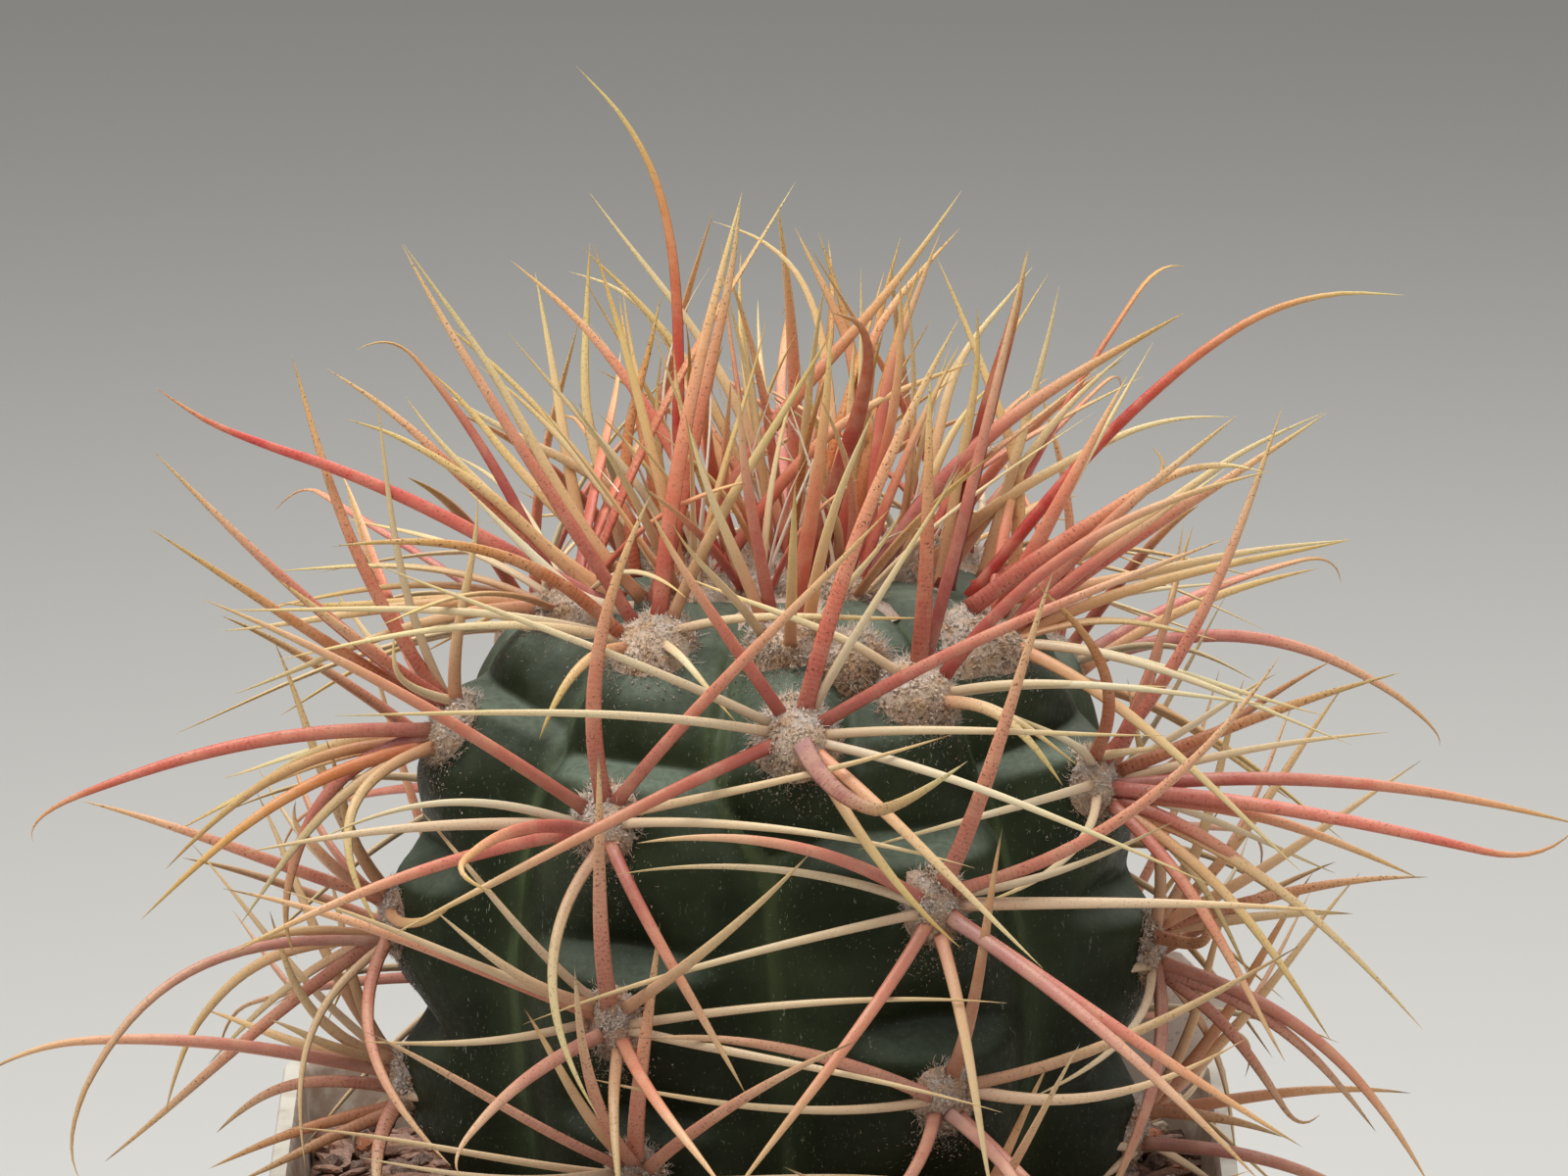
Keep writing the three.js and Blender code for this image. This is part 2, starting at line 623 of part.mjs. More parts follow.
// Three-sided needle round its centre line: broad across, with its keel facing outwards
function spineSolid(points, widths, flat, facing) {
  const rings = points.slice(0, -1).map((point, i) => {
    const tangent = points[i + 1].clone().sub(i ? points[i - 1] : point).normalize();
    const side = new THREE.Vector3().crossVectors(tangent, facing).normalize();
    const keel = new THREE.Vector3().crossVectors(side, tangent).normalize();
    const half = widths[i] / 2;
    const deep = widths[i] * flat;
    return [
      point.clone().addScaledVector(side, half).addScaledVector(keel, -deep / 3),
      point.clone().addScaledVector(keel, (2 * deep) / 3),
      point.clone().addScaledVector(side, -half).addScaledVector(keel, -deep / 3),
    ].map((corner) => corner.toArray());
  });
  const vertices = [...rings.flat(), points[points.length - 1].toArray()];
  const triangles = [[0, 2, 1]];
  for (let i = 0; i + 1 < rings.length; i += 1) {
    for (let k = 0; k < 3; k += 1) {
      const [a, b] = [i * 3 + k, i * 3 + ((k + 1) % 3)];
      triangles.push([a, b, b + 3], [a, b + 3, a + 3]);
    }
  }
  const last = (rings.length - 1) * 3;
  for (let k = 0; k < 3; k += 1) triangles.push([last + k, last + ((k + 1) % 3), vertices.length - 1]);
  const solid = toSolid(fromPoints(vertices, triangles));
  if (solid.volume() > 0) return solid;
  return toSolid(fromPoints(vertices, triangles.map(([a, b, c]) => [a, c, b])));
}

// Least distance between two straight pieces
function distanceBetween(p1, q1, p2, q2) {
  const d1 = q1.clone().sub(p1);
  const d2 = q2.clone().sub(p2);
  const r = p1.clone().sub(p2);
  const [a, e, f] = [d1.dot(d1), d2.dot(d2), d2.dot(r)];
  const c = d1.dot(r);
  const b = d1.dot(d2);
  const denominator = a * e - b * b;
  let s = denominator > 1e-9 ? clamp((b * f - c * e) / denominator, 0, 1) : 0;
  let t = (b * s + f) / e;
  if (t < 0) {
    t = 0;
    s = clamp(-c / a, 0, 1);
  } else if (t > 1) {
    t = 1;
    s = clamp((b - c) / a, 0, 1);
  }
  return p1.clone().addScaledVector(d1, s).distanceTo(p2.clone().addScaledVector(d2, t));
}

const labelTilt = radians(LABEL.lean);
const labelAxis = new THREE.Vector3(Math.sin(labelTilt), 0, Math.cos(labelTilt));
const labelSide = new THREE.Vector3(Math.cos(labelTilt), 0, -Math.sin(labelTilt));
const labelFoot = new THREE.Vector3(LABEL.x, LABEL.y, 0);

function hitsLabel(point, radius) {
  const from = point.clone().sub(labelFoot);
  return Math.abs(from.dot(labelSide)) < LABEL.width / 2 + radius + CLEAR
    && Math.abs(from.y) < LABEL.thick / 2 + radius + CLEAR
    && from.dot(labelAxis) < LABEL.length - LABEL.buried + radius + CLEAR;
}

// Whether a point of a spine comes too near to the barrel, crown, soil, pot or label
function hitsPlantOrPot(point, radius, gap) {
  const away = Math.hypot(point.x, point.y);
  const azimuth = THREE.MathUtils.radToDeg(Math.atan2(point.x, -point.y));
  if (point.z < CROWN_ROOT && away < skinRadiusAt(azimuth, point.z) + radius + gap) return true;
  const overSeat = point.z - CROWN_SEAT;
  if (Math.abs(overSeat) < CROWN_RISE + 2 * CROWN_GAP && away < CROWN_RADIUS + radius + CROWN_GAP) return true;
  const fromWall = Math.max(Math.abs(point.x + PLANT_X), Math.abs(point.y)) - POT_SIDE / 2;
  if (fromWall < RIM_BAND[0] && point.z < PEBBLE_RISE * 2 + radius + CLEAR) return true;
  const byRim = fromWall >= RIM_BAND[0] && fromWall < RIM_BAND[1];
  if (byRim && point.z < RIM_ABOVE_SOIL + radius + 2 * CLEAR) return true;
  return hitsLabel(point, radius);
}

const placed = [];

// Whether a spine keeps clear of everything but the felt or crown that it grows from
function isClear(owner, points, widths) {
  const buried = owner === 'crown' ? BURIED_IN_CROWN : BURIED_IN_FELT;
  let travelled = 0;
  for (let i = 1; i < points.length; i += 1) {
    const [from, to] = [points[i - 1], points[i]];
    const radius = Math.max(widths[i - 1], widths[i]) / 2;
    const span = from.distanceTo(to);
    for (let k = 0; k <= 4; k += 1) {
      const point = from.clone().lerp(to, k / 4);
      const way = travelled + (span * k) / 4;
      if (way < buried) continue;
      if (hitsPlantOrPot(point, radius, way < NEAR_ROOT ? NEAR_GAP : SKIN_GAP)) return false;
      for (const areole of areoles) {
        const reach = areole.felt.along + radius + FELT_GAP;
        if (areole.name !== owner && point.distanceTo(areole.at) < reach) return false;
      }
    }
    travelled += span;
    for (const other of placed) {
      if (other.owner === owner) continue;
      if (other.centre.distanceTo(from) > other.reach + span + 4) continue;
      if (distanceBetween(from, to, other.from, other.to) < radius + other.radius + CLEAR) return false;
    }
  }
  return true;
}

function remember(owner, points, widths) {
  for (let i = 1; i < points.length; i += 1) {
    const [from, to] = [points[i - 1], points[i]];
    placed.push({
      owner,
      from,
      to,
      centre: from.clone().lerp(to, 0.5),
      reach: from.distanceTo(to) / 2,
      radius: Math.max(widths[i - 1], widths[i]) / 2,
    });
  }
}

// Place a spine, bent clear of what is there already, or shortened, or left out
function placeSpine({ owner, root, exit, axes, spine }) {
  const kind = KINDS[spine[4]];
  for (const share of SHARES) {
    for (const bend of BENDS) {
      const tip = bend.map((value, axis) => (spine[axis] + value) * share);
      const points = spineLine(root, exit, axes, [...tip, ...spine.slice(3)], kind.steps);
      const widths = spineWidths(points, kind.width);
      if (!isClear(owner, points, widths)) continue;
      const solid = spineSolid(points, widths, kind.flat, axes.out);
      if (owner !== 'crown' && solid.minGap(barrel, 1) < GAP * 0.9) continue;
      remember(owner, points, widths);
      return solid;
    }
  }
  return null;
}

// Tip of a spine read in the front view, as an offset from its areole
function seenSpine(at, spine) {
  const [right, up, out, ...rest] = spine;
  return [right - at.dot(VIEW.right), up - at.dot(VIEW.up), out, ...rest];
}

function bunchSpines(areole, seed) {
  const low = areole.at.z < LOW_BUNCH_HEIGHT;
  return BUNCH.filter(([, up]) => !low || up > -20).map((spine, i) => {
    const jitter = [0, 1, 2].map((axis) => BUNCH_JITTER * draw(seed * 97 + i * 13 + axis));
    const young = 1 - smoothstep(areole.way, 30, 60);
    const lift = i === 0 ? 14 * young : 0;
    return [spine[0] + jitter[0], spine[1] + jitter[1], spine[2] + jitter[2] + lift, ...spine.slice(3)];
  });
}

// Root of a spine, on the side of the felt towards which it points
function rootOn(areole, chord) {
  const [across, upwards] = [chord.dot(areole.right), chord.dot(areole.up)];
  const flat = Math.hypot(across, upwards) || 1;
  const offset = [(across / flat) * ROOT_ACROSS, (upwards / flat) * ROOT_ALONG, ROOT_LIFT];
  return along(areole, offset).add(areole.at);
}

function wantedSpines() {
  const wanted = [];
  SEEN_CROWN.forEach(([[azimuth, radius], spine], rank) => {
    const angle = radians(azimuth);
    const root = new THREE.Vector3(radius * Math.sin(angle), -radius * Math.cos(angle), CROWN_ROOT);
    wanted.push({ owner: 'crown', rank, root, exit: UPRIGHT, axes: VIEW, spine: seenSpine(root, spine) });
  });
  areoles.forEach((areole, seed) => {
    const seen = SEEN[areole.name];
    const own = seen ? seen.map((spine) => seenSpine(areole.at, spine)) : [];
    const local = own.length > 4 ? [] : bunchSpines(areole, seed);
    const both = [
      ...own.map((spine) => ({ axes: VIEW, spine })),
      ...local.map((spine) => ({ axes: areole, spine })),
    ];
    both.slice(0, SPINES_A_BUNCH).forEach(({ axes, spine }, rank) => {
      const chord = along(axes, spine);
      const root = rootOn(areole, chord);
      const left = chord.add(areole.at).sub(root);
      const tip = [left.dot(axes.right), left.dot(axes.up), left.dot(axes.out)];
      const shifted = [...tip, ...spine.slice(3)];
      wanted.push({ owner: areole.name, rank, root, exit: areole.out, axes, spine: shifted });
    });
  });
  CROWN_RINGS.forEach(({ radius, count, lean, length }, ring) => {
    for (let i = 0; i < count; i += 1) {
      const seed = 500 + ring * 40 + i;
      const azimuth = ((i + 0.35 * draw(seed)) / count) * 360 + ring * 20;
      const angle = radians(azimuth);
      const tilt = radians(lean + 7 * draw(seed + 200));
      const reach = length * (1 + 0.18 * draw(seed + 400));
      const root = new THREE.Vector3(radius * Math.sin(angle), -radius * Math.cos(angle), CROWN_ROOT);
      const axes = {
        right: new THREE.Vector3(Math.cos(angle), Math.sin(angle), 0),
        up: UPRIGHT,
        out: new THREE.Vector3(Math.sin(angle), -Math.cos(angle), 0),
      };
      const kind = ['red', 'tan', 'ivory'][(ring + i) % 3];
      const spine = [4 * draw(seed + 600), reach * Math.cos(tilt), reach * Math.sin(tilt), 1, kind];
      wanted.push({ owner: 'crown', rank: 4 + i / 3, root, exit: UPRIGHT, axes, spine });
    }
  });
  return wanted.sort((one, two) => one.rank - two.rank);
}

function placeAllSpines() {
  const bunches = new Map([['crown', []], ...areoles.map(({ name }) => [name, []])]);
  for (const wanted of wantedSpines()) {
    const solid = placeSpine(wanted);
    if (solid) bunches.get(wanted.owner).push(solid);
  }
  return bunches;
}

const bunches = placeAllSpines();

// Crown: a low woolly dome that sits in a flat seat on the apex, with the young spines
function crownSolid() {
  const ring = (radius, height, wobble) => Array.from({ length: CROWN_SIDES }, (_, i) => {
    const angle = (i / CROWN_SIDES) * 2 * Math.PI;
    const out = radius * (1 + wobble * draw(900 + i));
    return [out * Math.sin(angle), -out * Math.cos(angle), height];
  });
  const floor = CROWN_SEAT + GAP;
  const rings = [
    ring(CROWN_RADIUS, floor, 0),
    ring(CROWN_RADIUS, floor + 1.6, 0),
    ring(CROWN_RADIUS * 0.8, floor + CROWN_RISE * 0.8, 0.1),
    ring(CROWN_RADIUS * 0.4, floor + CROWN_RISE, 0.12),
  ];
  const dome = gridSolid(rings, [0, 0, floor], [0, 0, floor + CROWN_RISE * 0.85]);
  return wasm.Manifold.union([dome, ...bunches.get('crown')]);
}

// Pot

function squareOutline(side, corner) {
  const flat = side / 2 - corner;
  const outline = [];
  for (let quarter = 0; quarter < 4; quarter += 1) {
    const middle = radians(quarter * 90 + 45);
    const [cx, cy] = [Math.SQRT2 * flat * Math.cos(middle), Math.SQRT2 * flat * Math.sin(middle)];
    for (let step = 0; step <= CORNER_STEPS; step += 1) {
      const angle = radians(quarter * 90 + (90 * step) / CORNER_STEPS);
      outline.push(new THREE.Vector2(cx + corner * Math.cos(angle), cy + corner * Math.sin(angle)));
    }
  }
  return outline;
}

// Square body with round corners through [side, height] stations
function squareBody(stations) {
  const rings = stations.map(([side, height]) => {
    const corner = POT_CORNER * (side / POT_SIDE);
    return squareOutline(side, corner).map(({ x, y }) => [x, y, height]);
  });
  return gridSolid(rings, [0, 0, stations[0][1]], [0, 0, stations[stations.length - 1][1]]);
}

// Outer side of the tapered wall at a height
function wallSide(height) {
  const top = POT_SIDE - 2 * COLLAR_STEP;
  return POT_FOOT_SIDE + ((top - POT_FOOT_SIDE) * height) / POT_HEIGHT;
}

function innerSide(height) {
  return wallSide(height) - 2 * POT_WALL;
}

function potSolid() {
  const collarFoot = POT_HEIGHT - COLLAR_HEIGHT;
  const outside = squareBody([
    [wallSide(0), 0],
    [wallSide(collarFoot), collarFoot],
    [POT_SIDE - 0.6, collarFoot + 0.8],
    [POT_SIDE, POT_HEIGHT],
  ]);
  const inside = squareBody([
    [innerSide(POT_FLOOR), POT_FLOOR],
    [innerSide(POT_HEIGHT + 5), POT_HEIGHT + 5],
  ]);
  const drains = [[-1, -1], [1, -1], [1, 1], [-1, 1]].map(([sx, sy]) => toSolid(
    new THREE.CylinderGeometry(DRAIN_HOLE / 2, DRAIN_HOLE / 2, 3 * POT_FLOOR, 8)
      .rotateX(Math.PI / 2).translate(sx * DRAIN_SPREAD, sy * DRAIN_SPREAD, POT_FLOOR),
  ));
  return outside.subtract(wasm.Manifold.union([inside, ...drains]));
}

// Soil: its top is raised into pebbles by a formula
function pebbleRise(x, y) {
  let nearest = Infinity;
  let size = 1;
  const [cx, cy] = [Math.floor(x / PEBBLE_PITCH), Math.floor(y / PEBBLE_PITCH)];
  for (let i = cx - 1; i <= cx + 1; i += 1) {
    for (let j = cy - 1; j <= cy + 1; j += 1) {
      const seed = (i + 50) * 131 + (j + 50);
      const px = (i + 0.5 + 0.35 * draw(seed)) * PEBBLE_PITCH;
      const py = (j + 0.5 + 0.35 * draw(seed + 7000)) * PEBBLE_PITCH;
      const away = Math.hypot(x - px, y - py);
      if (away < nearest) {
        nearest = away;
        size = 1 + 0.5 * draw(seed + 9000);
      }
    }
  }
  return PEBBLE_RISE * size * Math.max(0, 1 - (nearest / (PEBBLE_PITCH * 0.62)) ** 2);
}

function soilTop() {
  const side = innerSide(SOIL_LEVEL) + 8;
  const slab = new THREE.BoxGeometry(side, side, 60, SOIL_CELLS, SOIL_CELLS, 1)
    .translate(0, 0, SOIL_LEVEL - 30);
  const position = slab.attributes.position;
  for (let i = 0; i < position.count; i += 1) {
    if (position.getZ(i) > SOIL_LEVEL - 1) {
      position.setZ(i, SOIL_LEVEL + pebbleRise(position.getX(i), position.getY(i)));
    }
  }
  return toSolid(slab);
}

// Plain hole for the foot of the barrel, a gap wider than it all round
function footHole() {
  const brim = 2 * PEBBLE_RISE + 1;
  const reach = collarRing.map((point, column) => {
    const line = [footRing[column], point, ...skinRings.map((ring) => ring[column])];
    const radii = line.map(([x, y]) => Math.hypot(x, y));
    let widest = 0;
    for (let i = 1; i < line.length; i += 1) {
      const [below, above] = [line[i - 1][2], line[i][2]];
      if (below > brim) break;
      const share = Math.min(1, (brim - below) / Math.max(above - below, 0.01));
      widest = Math.max(widest, radii[i - 1], THREE.MathUtils.lerp(radii[i - 1], radii[i], share));
    }
    return widest;
  });
  const outline = (height) => collarRing.map(([x, y], column) => {
    const neighbours = [column - 1, column, column + 1].map((c) => reach[(c + reach.length) % reach.length]);
    const scale = (Math.max(reach[column], (neighbours[0] + neighbours[2]) / 2) + 1.3 * GAP) / Math.hypot(x, y);
    return [x * scale + PLANT_X, y * scale, height];
  });
  const [low, high] = [SOIL_LEVEL + FOOT_HEIGHT - GAP, SOIL_LEVEL + 20];
  return gridSolid([outline(low), outline(high)], [PLANT_X, 0, low], [PLANT_X, 0, high]);
}

function labelSolid(extra) {
  const bar = new THREE.BoxGeometry(LABEL.width + 2 * extra, LABEL.thick + 2 * extra, LABEL.length + 2 * extra)
    .translate(0, 0, LABEL.length / 2 - LABEL.buried)
    .rotateY(labelTilt)
    .translate(LABEL.x + PLANT_X, LABEL.y, SOIL_LEVEL);
  return toSolid(bar);
}

function soilSolid() {
  const foot = POT_FLOOR + GAP;
  const body = squareBody([
    [innerSide(foot) - 2 * GAP, foot],
    [innerSide(SOIL_LEVEL + 4) - 2 * GAP, SOIL_LEVEL + 4],
  ]);
  const filled = squareBody([
    [innerSide(foot) - 2 * GAP, foot],
    [innerSide(SOIL_LEVEL - 20) - 2 * GAP, SOIL_LEVEL - 20],
  ]);
  return body.intersect(soilTop()).add(filled).subtract(footHole()).subtract(labelSolid(GAP));
}

const plant = new THREE.Group();
plant.position.set(PLANT_X, 0, SOIL_LEVEL);
plant.add(toMesh('barrel', barrel, COLOURS.barrel, 0.55));
plant.add(toMesh('crown', crownSolid(), COLOURS.crown, 0.7));
for (const areole of areoles) {
  const bunch = wasm.Manifold.union([feltSolid(areole), ...bunches.get(areole.name)]);
  plant.add(toMesh(`areole_${areole.name}`, bunch, COLOURS.bunch, 0.6));
}

const group = new THREE.Group();
group.add(toMesh('pot', potSolid(), COLOURS.pot, 0.45));
group.add(toMesh('soil', soilSolid(), COLOURS.soil, 0.95));
group.add(toMesh('label', labelSolid(0), COLOURS.label, 0.5));
group.add(plant);

export default group;
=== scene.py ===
# %% [markdown]
# # A potted compass barrel cactus
#
# This lesson dresses a plain CAD model of a young barrel cactus in its square pot. The CAD model
# is loaded first and never moved: it says where each piece is. Every piece made here stands for
# one of its nodes, in the same place and with the same outer form, but with the surface of the
# real thing: fine ribs, felt with loose fibres, ringed and hooked spines, gravel and moulded
# plastic.

# %% Load the fixed frame
import math

import bmesh
import bpy
import numpy as np
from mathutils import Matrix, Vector, noise


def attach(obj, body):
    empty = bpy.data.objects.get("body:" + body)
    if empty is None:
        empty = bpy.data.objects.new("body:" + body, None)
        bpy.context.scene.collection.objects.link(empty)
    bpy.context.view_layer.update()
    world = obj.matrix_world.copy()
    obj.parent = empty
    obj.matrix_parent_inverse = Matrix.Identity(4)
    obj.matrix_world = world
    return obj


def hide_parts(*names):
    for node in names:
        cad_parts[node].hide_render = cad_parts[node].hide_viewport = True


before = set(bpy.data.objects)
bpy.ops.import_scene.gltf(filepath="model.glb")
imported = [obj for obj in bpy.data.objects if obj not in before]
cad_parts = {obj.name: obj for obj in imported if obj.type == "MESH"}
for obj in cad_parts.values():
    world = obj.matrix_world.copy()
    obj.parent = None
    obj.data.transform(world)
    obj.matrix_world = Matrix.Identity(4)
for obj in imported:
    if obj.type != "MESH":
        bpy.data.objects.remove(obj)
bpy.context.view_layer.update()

# %% [markdown]
# ## Units
#
# Plants and pots are measured in millimetres, and Blender works in metres. All shapes below are
# worked out in millimetres with the barrel's axis and the soil's surface as zero, and turned into
# metres only when a mesh is made.

# %% Units and the place of the plant
MM = 0.001
PLANT_X = 3.0
SOIL_LEVEL = 114.0
SOIL_ZERO = np.array([PLANT_X, 0.0, SOIL_LEVEL])


def unit(vector):
    return vector / np.linalg.norm(vector)


def smoothstep(value, low, high):
    share = np.clip((np.asarray(value, float) - low) / (high - low), 0.0, 1.0)
    return share * share * (3.0 - 2.0 * share)


print("soil surface", SOIL_LEVEL, "mm over the shelf, plant's axis at x =", PLANT_X, "mm")


# %% [markdown]
# ## Camera
#
# The plant was seen from far away through a long lens, looking down by 14 degrees. A long lens
# keeps the front and the back of the plant at nearly the same scale. One millimetre at the
# plant's axis covers seven of the 1600 pixels across the picture, and the camera's distance
# follows from that.

# %% Camera
LOOK_DOWN = math.radians(14.0)
LENS_MM = 288.0
SENSOR_MM = 36.0
PICTURE = (1600, 1200)
PIXELS_PER_MM = 7.0
AXIS_PIXEL = (790.0, 1280.0)

view_right = np.array([1.0, 0.0, 0.0])
view_up = np.array([0.0, math.sin(LOOK_DOWN), math.cos(LOOK_DOWN)])
view_out = np.array([0.0, -math.cos(LOOK_DOWN), math.sin(LOOK_DOWN)])

distance = PICTURE[0] / PIXELS_PER_MM * LENS_MM / SENSOR_MM
aim = SOIL_ZERO + view_right * (PICTURE[0] / 2 - AXIS_PIXEL[0]) / PIXELS_PER_MM
aim = aim + view_up * (AXIS_PIXEL[1] - PICTURE[1] / 2) / PIXELS_PER_MM

camera = bpy.data.objects.new("camera", bpy.data.cameras.new("camera"))
camera.data.lens = LENS_MM
camera.data.sensor_width = SENSOR_MM
camera.data.clip_end = 60.0
camera.location = Vector((aim + view_out * distance) * MM)
camera.rotation_euler = (math.pi / 2 - LOOK_DOWN, 0.0, 0.0)
bpy.context.scene.collection.objects.link(camera)
bpy.context.scene.camera = camera
print("camera", round(distance), "mm from the plant's axis")

# %% [markdown]
# ## Material helpers
#
# A material is a small tree of nodes. A few helpers keep the recipes below short: they add a node
# and fill or link its sockets, lay a noise over the piece, turn it into a soft step, mix colours.
# Patterns are laid by the place of a point in millimetres, so they need no unwrapping, and they
# run on unbroken from one piece to the next.


# %% Node helpers
def srgb(red, green, blue):
    """A colour as seen on screen, 0 to 255, as the linear values that a shader wants."""
    shares = np.array([red, green, blue]) / 255.0
    linear = np.where(shares <= 0.04045, shares / 12.92, ((shares + 0.055) / 1.055) ** 2.4)
    return (*linear.tolist(), 1.0)


def new_material(name):
    material = bpy.data.materials.new(name)
    material.use_nodes = True
    tree = material.node_tree
    return material, tree, tree.nodes["Principled BSDF"]


def add(tree, kind, sockets, **settings):
    made = tree.nodes.new(kind)
    for key, value in settings.items():
        setattr(made, key, value)
    for key, value in sockets.items():
        if isinstance(value, bpy.types.NodeSocket):
            tree.links.new(value, made.inputs[key])
        else:
            made.inputs[key].default_value = value
    return made


def place_in_mm(tree, stretch=(1.0, 1.0, 1.0)):
    """The place of a point in millimetres, stretched along X, Y or Z."""
    coordinates = tree.nodes.new("ShaderNodeTexCoord").outputs["Object"]
    scale = tuple(1000.0 * value for value in stretch)
    return add(tree, "ShaderNodeVectorMath", {0: coordinates, 1: scale}, operation="MULTIPLY").outputs[0]


def noise_over(tree, place, scale, detail=3.0, roughness=0.55):
    sockets = {"Vector": place, "Scale": scale, "Detail": detail, "Roughness": roughness}
    return add(tree, "ShaderNodeTexNoise", sockets).outputs["Fac"]


def between(tree, value, low, high, bottom=0.0, top=1.0):
    """A soft step of a value: `bottom` below `low`, `top` above `high`."""
    sockets = {"Value": value, "From Min": low, "From Max": high, "To Min": bottom, "To Max": top}
    return add(tree, "ShaderNodeMapRange", sockets, interpolation_type="SMOOTHSTEP").outputs[0]


def blend_colours(tree, share, first, second, how="MIX"):
    node = add(tree, "ShaderNodeMix", {0: share, 6: first, 7: second}, data_type="RGBA", blend_type=how)
    return node.outputs[2]


def wander(tree, place, noise_look, low, high, first, second):
    """A colour that wanders between two, where `noise_look` is the noise's scale and detail."""
    return blend_colours(tree, between(tree, noise_over(tree, place, *noise_look), low, high), first, second)


def calculate(tree, operation, first, second=0.0):
    return add(tree, "ShaderNodeMath", {0: first, 1: second}, operation=operation).outputs[0]


def relief(tree, height, depth_mm, before=None):
    """A bump of a given depth, laid over an earlier one."""
    sockets = {"Height": height, "Strength": 1.0, "Distance": depth_mm * MM}
    if before is not None:
        sockets["Normal"] = before
    return add(tree, "ShaderNodeBump", sockets).outputs[0]


print("pure white is", srgb(255, 255, 255), "and a middle grey", tuple(round(v, 3) for v in srgb(128, 128, 128)))


# %% [markdown]
# ## Floor and light
#
# The plant stands on a plain pale floor under soft studio light, as of an overcast day. A wide
# lamp hangs close above the plant, so that the light falls off towards the floor and each spine
# gets a bright upper and a dark lower side. Weaker ones light the flanks from left and right, and
# one from behind draws a bright line along the spines. The front faces stay the darkest.

# %% Floor, lamps and sky
floor_mesh = bpy.data.meshes.new("floor")
FLOOR_HALF = 14.0
floor_corners = [(-1, -1), (1, -1), (1, 1), (-1, 1)]
floor_mesh.from_pydata([(FLOOR_HALF * x, FLOOR_HALF * y, 0.0) for x, y in floor_corners], [], [(0, 1, 2, 3)])
floor = bpy.data.objects.new("floor", floor_mesh)
bpy.context.scene.collection.objects.link(floor)

paper, tree, shader = new_material("pale_paper_floor")
shader.inputs["Base Color"].default_value = srgb(214, 213, 210)
shader.inputs["Roughness"].default_value = 0.9
floor_mesh.materials.append(paper)


LAMP_AIM = Vector((0.0, 0.0, 0.17))


def softbox(name, place, size, watts, colour):
    """A square lamp at `place`, in metres, that faces the plant."""
    lamp = bpy.data.lights.new(name, "AREA")
    lamp.size = size
    lamp.energy = watts
    lamp.color = colour
    holder = bpy.data.objects.new(name, lamp)
    holder.location = place
    towards = LAMP_AIM - Vector(place)
    holder.rotation_euler = towards.to_track_quat("-Z", "Y").to_euler()
    bpy.context.scene.collection.objects.link(holder)


softbox("lamp_top", (-0.2, -0.2, 0.95), 0.55, 7.6, (1.0, 0.985, 0.96))
softbox("lamp_left", (-0.95, -0.3, 0.6), 0.6, 1.8, (0.97, 0.985, 1.0))
softbox("lamp_right", (0.95, -0.35, 0.6), 0.6, 2.1, (0.97, 0.985, 1.0))
softbox("lamp_back", (0.25, 0.62, 0.95), 0.6, 4.2, (1.0, 0.99, 0.97))

sky = bpy.data.worlds.new("studio")
sky.use_nodes = True
sky.node_tree.nodes["Background"].inputs["Color"].default_value = (0.86, 0.84, 0.81, 1.0)
sky.node_tree.nodes["Background"].inputs["Strength"].default_value = 0.26
bpy.context.scene.world = sky

# %% [markdown]
# ## The barrel's form
#
# The barrel is one grown piece. It could be sculpted, but a formula keeps it in step with the CAD
# model. A crest line says how far the ribs stand out, a list of ribs says where the areoles sit on
# them, and everything between falls back from the crest: into a valley beside each rib, and into
# a notch above each areole, so that each areole sits on the tip of a tubercle.

# %% Crest line, ribs and tubercles
CREST_LINE = np.array([
    [0, 101], [12, 102], [22, 102.2], [32, 99.8], [40, 95.5], [46, 90], [50.5, 83], [53.5, 75],
    [55.2, 65], [55.8, 53], [55.4, 41], [54.2, 29], [52, 17], [48.5, 6], [45, -3], [41, -10],
], float)
VALLEY_DEPTH = 9.5
CHIN_DEPTH = 7.0
CHIN_SPREAD = 12.0
AREOLE_PITCH = 28.0
FACE_SHARE = 0.2
NOTCH_SHARE = 0.37
YOUNG_VALLEY = 0.65
YOUNG_HALF_WIDTH = 13.5
YOUNG_NARROWING = 0.45
YOUNG_FADE = 26
GROOVE_SHARE = 0.14
BACK_POWER = 1.8

# Ribs with their areoles from the lowest up, as (azimuth, way down from the apex)
RIBS = {
    "left": [(-79, 139), (-80, 113), (-78, 87.5), (-69, 56.5), (-70, 31)],
    "front_left": [(-21, 142), (-21, 115), (-24, 92), (-27, 63.5), (-32, 33.5)],
    "front_right": [(26, 131), (26, 103.5), (24.5, 75), (30, 43.5), (32, 22)],
    "right": [(78, 146), (78, 120), (75, 91.5), (61, 63.5), (57, 37)],
    "back_right": [(128, 140), (128, 114), (128, 88.5), (126, 60), (120, 33)],
    "back": [(180, 129), (180, 101), (178, 73), (176, 45), (174, 24)],
    "back_left": [(231, 136), (231, 108), (230, 80), (228, 52.5), (224, 30)],
}
YOUNG_RIBS = {
    "front_middle": [(4, 49.5), (3, 31.5)],
    "back_middle": [(152, 48)],
    "rear_left": [(204, 50)],
}
print(sum(len(rib) for rib in RIBS.values()), "areoles on", len(RIBS), "ribs, also those in the soil")


# %% [markdown]
# ## The crest line
#
# The crest line goes through a few measured points of the barrel's side. Blender's own curve
# objects could join them, but a cubic between each two points, worked out in numpy, gives values
# at any place on the line: its radius, its height, and which way is out.

